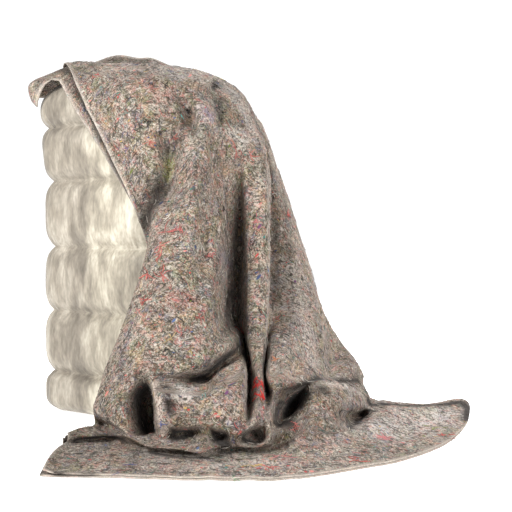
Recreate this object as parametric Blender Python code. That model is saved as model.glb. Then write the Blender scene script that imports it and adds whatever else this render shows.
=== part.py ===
"""Moving blanket folded double and draped over a plain bale, in metres, +Z up.

The bale's flat underside lies over the origin and stands on the floor, Z = 0.
"""

import math

import bpy
import numpy as np

for old in list(bpy.data.objects):
    bpy.data.objects.remove(old, do_unlink=True)

# ---- cloth sizes ----
PLY = 0.0026  # one layer of felt
PLY_GAP = 0.0008  # air between the two layers
STACK = 2 * PLY + PLY_GAP  # both layers
FOLD_FILL = 0.6  # how much of the room inside a tight fold the stack may fill
FLOOR_TOP = STACK + 0.0006  # outer face of cloth lying on the floor
EDGE_PART = 0.002  # how far the layers part at the open edge
WRAP = 0.135  # share of the width over which the top layer's set-back fades out

# ---- bale sizes ----
BALE_LONG = 0.352
BALE_SHORT = 0.284
BALE_TURN = math.radians(-38)
BALE_CENTRE = (-0.0197, 0.0154)
BALE_LEAN = -0.008  # how far the top bulge has slid to the left
BALE_CORNER = 0.070
BALE_TOP = 0.6968
BALE_SHOULDER = 0.618  # where the top starts to round over
BALE_ROUND = 0.085  # how far the rounded top edge goes in
BALE_FOOT = 0.030  # rounding of the bottom edge
PINCH = 0.014  # depth of the grooves
GROOVES = (0.0, 0.083, 0.207, 0.338, 0.472, 0.581)

# Places across the cloth, from its open left edge (0) to the fold on the right (1).
SECTIONS = (
    0.000, 0.038, 0.082, 0.126, 0.170, 0.208, 0.245, 0.283, 0.318, 0.355, 0.385, 0.425, 0.483,
    0.537, 0.568, 0.629, 0.684, 0.735, 0.786, 0.847, 0.915, 1.000,
)
# Each fold line across the cloth: x, y, z in millimetres at every section above.
FOLD_LINES = (
    ("rear_hem", (
        (-232, -10, 622), (-253, 50, 647), (-205, 110, 665), (-155, 145, 722), (-120, 160, 745),
        (-80, 165, 757), (-40, 165, 752), (-8, 165, 751), (20, 170, 740), (50, 175, 725),
        (65, 175, 715), (85, 180, 702), (110, 185, 685), (130, 185, 668), (150, 190, 645),
        (165, 195, 615), (185, 200, 585), (200, 205, 550), (215, 210, 510), (225, 215, 470),
        (232, 220, 430), (235, 225, 390),
    )),
    ("behind_crown", (
        (-220, -30, 648), (-251, 20, 675), (-185, 75, 695), (-130, 95, 708), (-100, 100, 713),
        (-65, 100, 715), (-35, 100, 715), (-5, 100, 715), (30, 105, 713), (60, 110, 709),
        (80, 115, 704), (100, 120, 698), (125, 120, 688), (150, 125, 674), (170, 130, 655),
        (190, 135, 635), (207, 140, 610), (220, 145, 580), (230, 150, 545), (240, 155, 510),
        (243, 165, 470), (240, 175, 430),
    )),
    ("crown", (
        (-203, -45, 670), (-200, -20, 690), (-152, 0, 713), (-93, 20, 714), (-59, 30, 719),
        (-30, 30, 714), (-1, 30, 721), (26, 30, 713), (61, 35, 709), (96, 40, 704),
        (115, 45, 700), (132, 50, 693), (157, 50, 683), (178, 55, 671), (193, 60, 657),
        (203, 70, 643), (214, 80, 627), (222, 90, 611), (226, 105, 593), (229, 125, 573),
        (224, 140, 553), (213, 160, 537),
    )),
    ("front_rim", (
        (-181, -55, 675), (-146, -60, 692), (-104, -70, 697), (-62, -90, 694), (-25, -100, 692),
        (-1, -110, 689), (21, -115, 692), (41, -115, 688), (68, -110, 683), (98, -100, 678),
        (115, -90, 674), (131, -80, 669), (152, -65, 659), (174, -45, 650), (185, -20, 643),
        (197, 0, 631), (208, 25, 619), (218, 45, 604), (224, 65, 585), (229, 90, 564),
        (229, 110, 540), (218, 140, 524),
    )),
    ("rim_turn", (
        (-160, -80, 645), (-115, -115, 649), (-72, -145, 653), (-31, -165, 654), (0, -175, 654),
        (26, -180, 654), (46, -180, 654), (63, -175, 653), (83, -165, 650), (108, -160, 647),
        (124, -150, 646), (139, -140, 644), (162, -120, 639), (185, -95, 632), (198, -65, 627),
        (210, -30, 619), (220, 0, 606), (228, 20, 587), (235, 40, 566), (241, 65, 545),
        (241, 90, 526), (231, 120, 514),
    )),
    ("hood", (
        (-125, -105, 588), (-77, -150, 587), (-35, -180, 588), (5, -200, 587), (34, -210, 588),
        (58, -205, 589), (78, -197, 590), (93, -172, 590), (110, -200, 587), (127, -205, 587),
        (139, -195, 586), (154, -175, 586), (176, -155, 584), (206, -130, 583), (220, -75, 587),
        (228, -40, 586), (234, -10, 581), (241, 15, 570), (245, 35, 555), (250, 55, 540),
        (250, 80, 521), (239, 110, 505),
    )),
    ("chest", (
        (-73, -137, 511), (-30, -174, 513), (9, -203, 514), (37, -207, 516), (56, -180, 520),
        (81, -220, 517), (99, -240, 516), (112, -245, 515), (126, -235, 516), (140, -210, 518),
        (153, -200, 518), (167, -190, 517), (188, -175, 516), (205, -175, 514), (233, -160, 513),
        (242, -85, 514), (248, -45, 511), (255, -10, 509), (261, 15, 504), (266, 35, 499),
        (269, 60, 490), (261, 90, 478),
    )),
    ("waist", (
        (20, -215, 352), (24, -222, 354), (27, -238, 354), (25, -265, 349), (46, -295, 346),
        (68, -310, 345), (90, -315, 345), (110, -310, 343), (127, -285, 341), (143, -285, 339),
        (157, -260, 338), (171, -190, 337), (189, -130, 336), (207, -215, 335), (238, -225, 336),
        (247, -120, 333), (265, -90, 333), (291, -75, 332), (309, -45, 332), (318, -10, 331),
        (320, 35, 330), (309, 80, 329),
    )),
    ("hips", (
        (52, -225, 206), (40, -235, 207), (13, -255, 209), (-15, -295, 213), (3, -330, 216),
        (30, -350, 216), (55, -360, 215), (81, -365, 214), (110, -365, 212), (132, -360, 211),
        (147, -340, 211), (164, -280, 208), (182, -160, 201), (207, -265, 208), (234, -275, 207),
        (245, -180, 203), (271, -170, 202), (308, -160, 205), (339, -120, 205), (352, -60, 202),
        (362, -5, 197), (351, 60, 192),
    )),
    ("swag", (
        (40, -240, 113), (14, -250, 110), (-25, -275, 107), (-50, -315, 114), (-29, -350, 119),
        (-2, -375, 122), (25, -385, 129), (53, -390, 135), (92, -395, 134), (130, -385, 143),
        (150, -370, 158), (178, -335, 176), (196, -190, 179), (211, -310, 170), (232, -315, 170),
        (241, -200, 158), (249, -285, 163), (311, -220, 156), (344, -160, 153), (363, -70, 143),
        (398, -10, 136), (392, 50, 130),
    )),
    ("swag_crease", (
        (27, -250, 63), (-5, -260, 63), (-38, -285, 69), (-58, -330, 85), (-34, -365, 88),
        (-4, -385, 97), (25, -370, 111), (47, -385, 119), (90, -370, 115), (131, -300, 110),
        (148, -285, 122), (184, -295, 150), (203, -180, 146), (215, -330, 137), (230, -335, 138),
        (239, -200, 118), (244, -330, 141), (300, -260, 133), (342, -185, 128), (368, -90, 116),
        (419, -30, 108), (418, 50, 98),
    )),
    ("roll_top", (
        (10, -260, 28.3), (-25, -270, 33.7), (-53, -300, 50), (-66, -335, 65), (-36, -375, 66),
        (1, -395, 73), (29, -290, 60), (52, -425, 100), (91, -435, 106), (137, -430, 105),
        (157, -425, 121), (197, -410, 132), (205, -250, 96), (217, -380, 110), (230, -385, 110),
        (237, -220, 88), (244, -375, 114), (291, -310, 119), (340, -220, 114), (369, -130, 96),
        (430, -60, 84), (432, 20, 73),
    )),
    ("roll_lip", (
        (-61, -270, 12), (-67, -290, 19.4), (-65, -315, 31.2), (-61, -345, 54), (-28, -385, 46),
        (9, -410, 35.4), (34, -300, 21.3), (58, -435, 52), (99, -445, 50), (137, -450, 56),
        (155, -455, 51), (187, -460, 48), (209, -455, 51), (222, -445, 60), (233, -425, 68),
        (245, -400, 79), (259, -365, 95), (302, -325, 103), (338, -250, 103), (376, -170, 84),
        (430, -80, 67), (435, 10, 54),
    )),
    ("recess", (
        (-102, -385, 22), (-84, -354, 28), (-59, -335, 28), (-47, -318, 30), (-6, -405, 36.1),
        (23, -430, 26), (42, -400, 26.7), (72, -440, 26.4), (96, -400, 29.3), (140, -445, 35.6),
        (156, -400, 25), (181, -455, 31), (212, -400, 26.7), (225, -405, 27.7),
        (240, -445, 38.8), (249, -400, 47), (285, -210, 34.1), (310, -310, 96), (343, -290, 100),
        (389, -230, 85), (434, -120, 55), (448, 20, 35.6),
    )),
    ("floor_lip", (
        (-108, -390, 18), (-86, -379, 21), (-60, -375, 21), (-32, -379, 21), (4, -435, 32),
        (32, -451, 22), (53, -465, 20), (78, -473, 20), (104, -483, 19), (131, -506, 19),
        (156, -477, 21), (183, -457, 20), (207, -465, 20), (225, -461, 20), (241, -453, 24),
        (251, -433, 30), (279, -385, 44), (312, -345, 58), (345, -335, 66), (392, -280, 55),
        (436, -150, 41), (459, 0, 24.3),
    )),
    ("tuck", (
        (-108, -378, 10), (-86, -357, 10.8), (-60, -353, 10.8), (-32, -357, 10.8),
        (4, -401, 10.8), (32, -417, 10.8), (53, -431, 10.8), (78, -439, 10.8), (104, -449, 10.8),
        (131, -472, 10.8), (156, -443, 10.8), (183, -423, 10.8), (207, -431, 10.8),
        (225, -427, 10.8), (241, -419, 10.8), (251, -399, 10.8), (286, -400, 23.4),
        (316, -360, 39.5), (359, -345, 36.7), (419, -150, 14), (434, -190, 34.4), (496, 5, 17.3),
    )),
    ("skirt_start", (
        (-108, -386, 6.6), (-86, -364, 6.6), (-60, -360, 6.6), (-32, -364, 6.6), (4, -408, 6.6),
        (32, -424, 6.6), (53, -438, 6.6), (78, -446, 6.6), (104, -456, 6.6), (131, -479, 6.6),
        (156, -450, 6.6), (183, -430, 6.6), (207, -438, 6.6), (225, -434, 6.6), (241, -426, 6.6),
        (251, -406, 6.6), (293, -425, 18.4), (325, -385, 22.1), (376, -345, 22.9),
        (412, -330, 23.5), (460, -210, 28.5), (567, 0, 13),
    )),
    ("skirt", (
        (-115, -460, -0.5), (-90, -470, 1.7), (-49, -485, 4.9), (-9, -495, 7.1), (23, -500, 6.6),
        (46, -510, 7.3), (66, -515, 6.8), (88, -520, 6.3), (114, -530, 5.4), (139, -535, 5),
        (162, -530, 5.4), (189, -525, 5.9), (212, -520, 6.3), (229, -515, 6.8), (250, -510, 7.3),
        (271, -500, 8.2), (299, -480, 10.3), (334, -450, 13.6), (387, -390, 12.9),
        (435, -345, 14.2), (519, -200, 9.9), (650, 35, 18.6),
    )),
    ("front_hem", (
        (-107, -593, 6.6), (-80, -595, 6.6), (-47, -596, 6.6), (-16, -599, 6.6), (11, -603, 6.6),
        (36, -608, 6.6), (58, -612, 6.6), (78, -614, 6.6), (102, -616, 6.6), (128, -617, 6.6),
        (151, -618, 6.6), (174, -618, 6.6), (199, -618, 6.6), (220, -618, 6.6), (244, -618, 6.6),
        (267, -612, 6.6), (295, -600, 6.6), (335, -575, 6.6), (390, -535, 6.6), (450, -490, 6.6),
        (540, -370, 6.6), (627, -156, 6.6),
    )),
)

# How far the top layer's left edge lies behind the lower layer's, and the mesh rows
# from each fold line to the next: (fold line, set-back share of width, rows).
EDGE_PLAN = (
    ("rear_hem", 0.085, 2),
    ("behind_crown", 0.080, 2),
    ("crown", 0.068, 3),
    ("front_rim", 0.034, 2),
    ("rim_turn", 0.030, 2),
    ("hood", 0.026, 2),
    ("chest", 0.016, 3),
    ("waist", 0.010, 3),
    ("hips", 0.008, 2),
    ("swag", 0.008, 2),
    ("swag_crease", 0.008, 2),
    ("roll_top", 0.008, 2),
    ("roll_lip", 0.008, 2),
    ("recess", 0.008, 2),
    ("floor_lip", 0.008, 3),
    ("tuck", 0.008, 2),
    ("skirt_start", 0.008, 3),
    ("skirt", 0.007, 3),
    ("front_hem", 0.006, 0),
)
# Extra columns between sections, where the cloth spans wide: (after section, columns).
EXTRA_COLUMNS = {1: 1, 5: 1, 6: 1, 8: 1, 11: 1, 12: 1, 14: 1, 15: 1, 17: 1, 19: 1, 20: 1}


def curve(points, at, where):
    """Smooth curve through points given at rising parameters, read at each place in where."""
    points = np.asarray(points, float)
    at = np.asarray(at, float)
    where = np.asarray(where, float)
    step = np.diff(at)
    slope = np.diff(points, axis=0) / step[:, None]
    turn = np.empty_like(points)
    turn[1:-1] = (slope[:-1] * step[1:, None] + slope[1:] * step[:-1, None]) / (
        step[:-1] + step[1:]
    )[:, None]
    turn[0] = 1.5 * slope[0] - 0.5 * turn[1]
    turn[-1] = 1.5 * slope[-1] - 0.5 * turn[-2]
    i = np.clip(np.searchsorted(at, where, side="right") - 1, 0, len(at) - 2)
    s = ((where - at[i]) / step[i])[:, None]
    h = step[i][:, None]
    return (
        (2 * s**3 - 3 * s**2 + 1) * points[i]
        + (s**3 - 2 * s**2 + s) * h * turn[i]
        + (3 * s**2 - 2 * s**3) * points[i + 1]
        + (s**3 - s**2) * h * turn[i + 1]
    )


def cloth_face(columns, set_back):
    """Outer face of the draped cloth, columns by rows by xyz."""
    lines = []
    for (_, points), (_, share, _) in zip(FOLD_LINES, EDGE_PLAN):
        u = np.array(columns, float)
        if set_back:
            u = np.where(u < WRAP, share + u * (1 - share / WRAP), u)
        lines.append(curve(np.array(points) / 1000, SECTIONS, u))
    lines = np.array(lines)
    face = []
    for c in range(lines.shape[1]):
        strand = lines[:, c]
        pace = np.sqrt(np.maximum(np.linalg.norm(np.diff(strand, axis=0), axis=1), 1e-4))
        at = np.concatenate([[0], np.cumsum(pace)])
        where = []
        for k, (_, _, rows) in enumerate(EDGE_PLAN[:-1]):
            where += list(np.linspace(at[k], at[k + 1], rows, endpoint=False))
        where.append(at[-1])
        face.append(curve(strand, at, where))
    face = np.array(face)
    face[:, :, 2] = np.maximum(face[:, :, 2], FLOOR_TOP)
    return face


def outward(face):
    """Unit normal at each point, turned so that every facet round the point faces with it."""
    far = face[1:, 1:] - face[:-1, :-1]
    upper = np.cross(far, face[1:, :-1] - face[:-1, :-1])
    lower = np.cross(face[:-1, 1:] - face[:-1, :-1], far)
    facets = []
    for normal, corners in ((upper, ((0, 0), (1, 1), (1, 0))), (lower, ((0, 0), (0, 1), (1, 1)))):
        normal = normal / np.maximum(np.linalg.norm(normal, axis=2), 1e-12)[:, :, None]
        for i, j in corners:
            spread = np.zeros_like(face)
            spread[i : i + normal.shape[0], j : j + normal.shape[1]] = normal
            facets.append(spread)
    facets = np.array(facets)
    there = np.linalg.norm(facets, axis=3) > 0.5
    n = facets.sum(axis=0)
    n /= np.maximum(np.linalg.norm(n, axis=2), 1e-9)[:, :, None]
    for turn in range(60):
        dots = np.where(there, np.sum(facets * n, axis=3), 9.0)
        worst = np.argmin(dots, axis=0)
        pull = np.take_along_axis(facets, worst[None, :, :, None], axis=0)[0]
        n = n + pull * 0.5 / (1 + turn / 4)
        n /= np.maximum(np.linalg.norm(n, axis=2), 1e-9)[:, :, None]
    return n


def squeeze(face, normal):
    """Share of the full stack that fits behind each point before the cloth meets itself."""
    points = face.reshape(-1, 3)
    facing = normal.reshape(-1, 3)
    others = np.concatenate([
        points,
        ((face[1:] + face[:-1]) / 2).reshape(-1, 3),
        ((face[:, 1:] + face[:, :-1]) / 2).reshape(-1, 3),
        ((face[1:, 1:] + face[:-1, :-1]) / 2).reshape(-1, 3),
    ])
    free = []
    for start in range(0, len(points), 128):
        here = points[start : start + 128]
        gap = here[:, None] - others[None]
        depth = np.einsum("ijk,ik->ij", gap, facing[start : start + 128])
        size = np.einsum("ijk,ijk->ij", gap, gap)
        ball = np.where(depth > 1e-5, size / np.maximum(2 * depth, 1e-9), 1.0)
        free.append(ball.min(axis=1))
    free = np.concatenate(free).reshape(face.shape[:2])
    fit = np.clip(FOLD_FILL * free / STACK, 0.15, 1.0)
    for _ in range(2):
        padded = np.pad(fit, 1, mode="edge")
        around = [
            padded[1 + i : padded.shape[0] - 1 + i, 1 + j : padded.shape[1] - 1 + j]
            for i in (-1, 0, 1)
            for j in (-1, 0, 1)
        ]
        fit = np.minimum(fit, np.mean(around, axis=0))
    return fit


def sunk(face, normal, fit, depth):
    """The face moved inwards by depth, less inside tight folds, and kept off the floor."""
    moved = face - normal * (depth * fit)[:, :, None]
    moved[:, :, 2] = np.maximum(moved[:, :, 2], FLOOR_TOP - depth)
    return moved


def blanket_mesh():
    columns = []
    for s in range(len(SECTIONS) - 1):
        parts = EXTRA_COLUMNS.get(s, 0) + 1
        columns += list(np.linspace(SECTIONS[s], SECTIONS[s + 1], parts, endpoint=False))
    columns.append(1.0)
    low = cloth_face(columns, False)
    top = cloth_face(columns, True)
    low_n = outward(low)
    top_n = outward(top)
    low_fit = squeeze(low, low_n)
    top_fit = squeeze(top, top_n)
    parted = EDGE_PART * np.clip(1 - np.array(columns) / WRAP, 0, 1)
    top = top + top_n * parted[:, None, None]
    top_out = top
    top_in = sunk(top, top_n, top_fit, PLY)
    low_out = sunk(low, low_n, low_fit, PLY + PLY_GAP)
    low_in = sunk(low, low_n, low_fit, STACK)
    end = low[-1]
    side = end - low[-2]
    side /= np.linalg.norm(side, axis=1)[:, None]
    lift = low_n[-1]
    side -= lift * np.sum(side * lift, axis=1)[:, None]
    side /= np.linalg.norm(side, axis=1)[:, None]
    centre = (top_out[-1] + low_in[-1]) / 2
    reach = np.linalg.norm(top_out[-1] - low_in[-1], axis=1)[:, None] / 2
    bend = [
        centre + reach * (math.cos(a) * lift + math.sin(a) * side)
        for a in (math.pi / 4, math.pi / 2, 3 * math.pi / 4)
    ]
    inner = centre + reach * (PLY_GAP / STACK) * side
    # One closed section per row: over the top, round the fold, back, and between the layers.
    ring = (
        list(top_out)
        + bend
        + list(low_in[::-1])
        + list(low_out)
        + [inner]
        + list(top_in[::-1])
    )
    ring = np.array(ring)
    count, rows = ring.shape[:2]
    n = len(columns)
    points = ring.transpose(1, 0, 2).reshape(-1, 3)
    faces = []
    backwards = set(range(n + 3, 2 * n + 3)) | set(range(3 * n + 4, 4 * n + 4))
    for r in range(rows - 1):
        for k in range(count):
            k2 = (k + 1) % count
            a = r * count + k
            b = r * count + k2
            c = a + count
            d = b + count
            # The same diagonal in every layer keeps the layers parallel.
            if k in backwards:
                faces += [(a, c, b), (b, c, d)]
            else:
                faces += [(a, d, b), (a, c, d)]
    bend_at = n
    low_in_at = n + 3
    low_out_at = low_in_at + n
    inner_at = low_out_at + n
    top_in_at = inner_at + 1
    caps = []
    for k in range(n - 1):
        caps.append((k, k + 1, top_in_at + n - 2 - k, top_in_at + n - 1 - k))
        caps.append((low_in_at + k, low_in_at + k + 1, low_out_at + n - 2 - k, low_out_at + n - 1 - k))
    caps.append((n - 1, bend_at, inner_at, top_in_at))
    caps.append((bend_at, bend_at + 1, inner_at))
    caps.append((bend_at + 1, bend_at + 2, inner_at))
    caps.append((bend_at + 2, low_in_at, low_out_at + n - 1, inner_at))
    last = (rows - 1) * count
    for cap in caps:
        faces.append(cap)
        faces.append(tuple(last + k for k in reversed(cap)))
    return points, faces


def bale_outline(around, inset, height):
    """A turned rectangle with round corners, drawn inset from the full plan at a height."""
    slid = min(max((height - GROOVES[-2]) / (GROOVES[-1] - GROOVES[-2]), 0), 1)
    mid_x = BALE_CENTRE[0] + BALE_LEAN * slid
    mid_y = BALE_CENTRE[1]
    half_long = BALE_LONG / 2 - inset
    half_short = BALE_SHORT / 2 - inset
    corner = min(max(BALE_CORNER - 0.6 * inset, 0.012), half_short * 0.98)
    cos_t = math.cos(BALE_TURN)
    sin_t = math.sin(BALE_TURN)
    outline = []
    per = around // 4
    for quarter, (sx, sy) in enumerate(((1, 1), (-1, 1), (-1, -1), (1, -1))):
        for i in range(per):
            a = math.pi / 2 * (quarter + i / (per - 1))
            x = sx * (half_long - corner) + corner * math.cos(a)
            y = sy * (half_short - corner) + corner * math.sin(a)
            outline.append((mid_x + x * cos_t - y * sin_t, mid_y + x * sin_t + y * cos_t))
    return outline


def bale_rings(per_bulge):
    """Height and inset of each ring, from the underside up."""
    rings = []
    for step in range(4):
        a = step / 3 * math.pi / 2
        rings.append((BALE_FOOT * (1 - math.cos(a)), 1.2 * BALE_FOOT * (1 - math.sin(a))))
    for low, high in zip(GROOVES, GROOVES[1:]):
        for step in range(1, per_bulge + 1):
            share = step / per_bulge
            height = low + (high - low) * share
            if height > BALE_FOOT:
                rings.append((height, PINCH * abs(2 * share - 1) ** 4))
    for step in range(1, 4):
        share = step / 3
        rings.append((
            GROOVES[-1] + (BALE_SHOULDER - GROOVES[-1]) * share,
            PINCH * (1 - share) ** 3,
        ))
    rise = BALE_TOP - 0.012 - BALE_SHOULDER
    for step in range(1, 8):
        a = step / 7 * math.pi / 2
        rings.append((BALE_SHOULDER + rise * math.sin(a), BALE_ROUND * (1 - math.cos(a))))
    for step in range(1, 4):
        a = step / 3 * math.pi / 2
        rings.append((BALE_TOP - 0.012 * (1 - math.sin(a)), BALE_ROUND + 0.05 * step / 3))
    return rings


def bale_mesh():
    around = 48
    rings = bale_rings(6)
    points = []
    for height, inset in rings:
        points += [(x, y, height) for x, y in bale_outline(around, inset, height)]
    faces = [tuple(reversed(range(around)))]
    for r in range(len(rings) - 1):
        for k in range(around):
            k2 = (k + 1) % around
            faces.append((
                r * around + k, r * around + k2, (r + 1) * around + k2, (r + 1) * around + k
            ))
    last = (len(rings) - 1) * around
    faces.append(tuple(last + k for k in range(around)))
    return points, faces


def material(name, colour, rough):
    made = bpy.data.materials.new(name)
    made.use_nodes = True
    shader = made.node_tree.nodes["Principled BSDF"]
    shader.inputs["Base Color"].default_value = (*colour, 1.0)
    shader.inputs["Roughness"].default_value = rough
    return made


def solid(name, points, faces, finish):
    mesh = bpy.data.meshes.new(name)
    mesh.from_pydata([tuple(p) for p in points], [], faces)
    mesh.update()
    made = bpy.data.objects.new(name, mesh)
    bpy.context.collection.objects.link(made)
    made.data.materials.append(finish)
    return made


solid("bale", *bale_mesh(), material("bale_wrap", (0.62, 0.58, 0.49), 0.8))
solid("blanket", *blanket_mesh(), material("recycled_felt", (0.27, 0.24, 0.21), 0.95))
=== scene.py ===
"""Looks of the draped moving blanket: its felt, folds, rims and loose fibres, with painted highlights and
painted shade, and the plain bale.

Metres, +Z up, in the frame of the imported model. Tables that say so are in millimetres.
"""

import math

import bpy
import numpy as np
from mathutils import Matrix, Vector
from mathutils.bvhtree import BVHTree


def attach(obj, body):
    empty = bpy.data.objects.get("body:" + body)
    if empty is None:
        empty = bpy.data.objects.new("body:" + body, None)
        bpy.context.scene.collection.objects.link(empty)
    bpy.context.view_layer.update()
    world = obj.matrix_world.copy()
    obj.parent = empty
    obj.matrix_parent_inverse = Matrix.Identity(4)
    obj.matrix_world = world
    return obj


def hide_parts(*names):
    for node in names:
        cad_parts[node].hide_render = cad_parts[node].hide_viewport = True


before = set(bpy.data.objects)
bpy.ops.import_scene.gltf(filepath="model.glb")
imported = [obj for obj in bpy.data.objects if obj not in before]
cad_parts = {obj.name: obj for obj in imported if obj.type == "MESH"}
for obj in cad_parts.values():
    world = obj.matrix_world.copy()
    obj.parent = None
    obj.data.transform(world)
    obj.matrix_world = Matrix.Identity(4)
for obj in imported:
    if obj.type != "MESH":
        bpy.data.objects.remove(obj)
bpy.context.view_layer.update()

# ---- camera ----
CAMERA_PLACE = (0.22, -2.2, 0.38)
CAMERA_DIP = math.radians(1.606)
SENSOR = 36.0  # mm
FRAME_PIXELS = 512
FOCAL_PIXELS = 1070

# ---- cloth sizes ----
CUT_WIDTH = 1.5
CLOTH_ACROSS = CUT_WIDTH / 2  # width of the cloth folded once
PLY = 0.0026  # one layer of felt
PLY_GAP = 0.0008  # air between the two layers
STACK = 2 * PLY + PLY_GAP
FOLD_FILL = 0.6  # how much of the room inside a tight fold the stack may fill
LEAST_STACK = 0.15  # share of the stack that is kept in the tightest fold
FLOOR_TOP = STACK + 0.0006  # outer face of cloth lying on the floor
EDGE_PART = 0.002  # how far the layers part towards the open edge
EDGE_LIFT = 0.0035  # how far the top layer lifts right at its edge
EDGE_CURL = 0.012  # over what width it lifts
RIM = 0.004  # width of the painted highlight where the fibre rim along a cut edge catches the light
WRAP = 0.135  # share of the width over which the top layer's set-back fades out
FINE_STEP = 0.0026  # column spacing at the cut edge and at the fold, as a share of the width
FINE_COLUMNS = 8
COLUMNS = 142
ROW_STEP = 0.0088
FEWEST_ROWS = 5
BEND_POINTS = 3  # points round the outside of the fold
NORMAL_ROUNDS = 30  # how often the normals are turned towards the facets that face away most
FIT_STEP = 3  # every how many points the room inside the folds is measured
FIT_BLOCK = 128  # how many points are measured at a time
# Small swells all over the cloth: height in mm, how many across and along, random seed.
SWELLS = ((1.4, 14, 20, 11), (0.8, 31, 46, 12), (0.5, 60, 80, 13))
# Creases laid on the main folds: half width and height in mm (less than 0 is a trough), and
# the way that each takes over the picture, as places in its pixels, across and down.
CREASES = (
    (22, -10, ((138, 229), (148, 207), (156, 188), (161, 175))),
    (11, -3, ((172, 146), (181, 129), (192, 110))),
    (7, 4, ((150, 232), (170, 192), (184, 150), (201, 108))),
    (9, 4, ((207, 104), (205, 130), (207, 200), (213, 270))),
    (13, -7, ((219, 98), (221, 150), (230, 220), (231, 295))),
    (14, -6, ((231, 263), (230, 295), (229, 327))),
    (7, 5, ((240, 99), (260, 150), (264, 215), (262, 325))),
    (11, -10, ((259, 123), (273, 180), (274, 250), (271, 318))),
    (7, 3, ((246, 215), (249, 290), (250, 325))),
    (14, 5, ((167, 143), (170, 156), (169, 167))),
    (4, -3, ((163, 380), (167, 402), (171, 424), (174, 438))),
    (7, 5, ((230, 88), (240, 99), (252, 123), (260, 150))),
    (10, -6, ((246, 100), (259, 123), (268, 150), (273, 180))),
    (5, 3, ((318, 318), (322, 352), (323, 372))),
    (12, -2.5, ((175, 240), (185, 280), (190, 320))),
    (7, -2, ((150, 130), (165, 120), (180, 108))),
    (7, -2, ((120, 120), (132, 140), (142, 160))),
)

# ---- colours, linear light ----
FELT_GRAIN = (
    (0.30, (0.100, 0.084, 0.066)),
    (0.50, (0.230, 0.197, 0.162)),
    (0.70, (0.440, 0.388, 0.335)),
)
FELT_CLUMP = (
    (0.33, (0.36, 0.34, 0.31)),
    (0.50, (0.95, 0.94, 0.91)),
    (0.70, (1.55, 1.52, 1.47)),
)
FELT_BROAD = (
    (0.36, (0.62, 0.62, 0.59)),
    (0.62, (1.18, 1.16, 1.15)),
)
# Noise in the felt: scale, detail, roughness.
GRAIN_NOISE = (260.0, 2.0, 0.65)
CLUMP_NOISE = (58.0, 3.0, 0.65)
BROAD_NOISE = (16.0, 3.0, 0.6)
BREAK_NOISE = (150.0, 2.0, 0.6)  # breaks up the listed stains, painted highlights and painted shade
FUZZ_NOISE = (420.0, 2.0, 0.7)  # breaks up the painted highlights on the rims
WANDER_SCALE = 45.0
WANDER = 0.006  # how far the pattern wanders
CLUMP_SHARE = 0.85
BROAD_SHARE = 0.7
FUZZ_SHARE = 0.9
BREAK_FROM, BREAK_TO = 0.30, 0.55
LEVEL_FROM, LEVEL_TO = 0.6, 0.95  # how upright the normal of level cloth is
FELT_MIDDLE = -0.25  # front to back place that stays put
FELT_DEEP = 0.36  # on level cloth the mottling is drawn out this much from front to back
FELT_SURFACE = {
    "Roughness": 0.95,
    "Specular IOR Level": 0.08,
    "Sheen Weight": 0.08,
    "Sheen Roughness": 0.5,
    "Sheen Tint": (1.0, 0.93, 0.9, 1),
}
RIB_PITCH = 0.0035
RIB_HEIGHT, GRAIN_HEIGHT, CLUMP_HEIGHT = 0.10, 0.8, 2.2  # shares of the bump
FELT_BUMP = 0.6
BUMP_DEPTH = 0.003
NOOK = 0.0060  # half width of the painted shadow line under the upper layer's edge
NOOK_OUT = 0.0045  # how far out from under that edge the line is darkest
NOOK_SHADE = 0.8
NOOK_LEAST = 0.002  # set-back, as a share of the width, below which there is no such line
SHADE_COLOUR = (0.014, 0.011, 0.009)
DARKEST = 0.985  # the most that the listed painted shade may hide
# Colour of the painted highlight on the fibre rims.
RIM_HIGHLIGHT_COLOUR = (0.60, 0.53, 0.46)
# Soft stains of colour: scale, seed place, threshold from and to, colour, strength.
STAINS = (
    (30.0, 3.1, 0.50, 0.62, (0.29, 0.140, 0.115), 0.50),
    (24.0, 7.7, 0.50, 0.63, (0.140, 0.142, 0.062), 0.66),
    (34.0, 12.4, 0.52, 0.64, (0.120, 0.118, 0.165), 0.60),
    (28.0, 19.9, 0.52, 0.64, (0.27, 0.180, 0.092), 0.58),
    (80.0, 26.3, 0.55, 0.65, (0.085, 0.130, 0.105), 0.55),
    (85.0, 31.7, 0.54, 0.64, (0.35, 0.105, 0.085), 0.50),
    (110.0, 37.9, 0.54, 0.64, (0.050, 0.044, 0.036), 0.60),
)
# Larger clots of one colour, in the same order.
CLOTS = (
    (70.0, 41.0, 0.69, 0.75, (0.36, 0.09, 0.075), 0.55),
    (80.0, 47.3, 0.61, 0.67, (0.030, 0.027, 0.022), 0.80),
    (66.0, 52.9, 0.68, 0.74, (0.12, 0.13, 0.05), 0.6),
    (72.0, 58.1, 0.69, 0.74, (0.08, 0.08, 0.16), 0.5),
    (60.0, 63.7, 0.63, 0.72, (0.54, 0.49, 0.44), 0.55),
)
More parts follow.
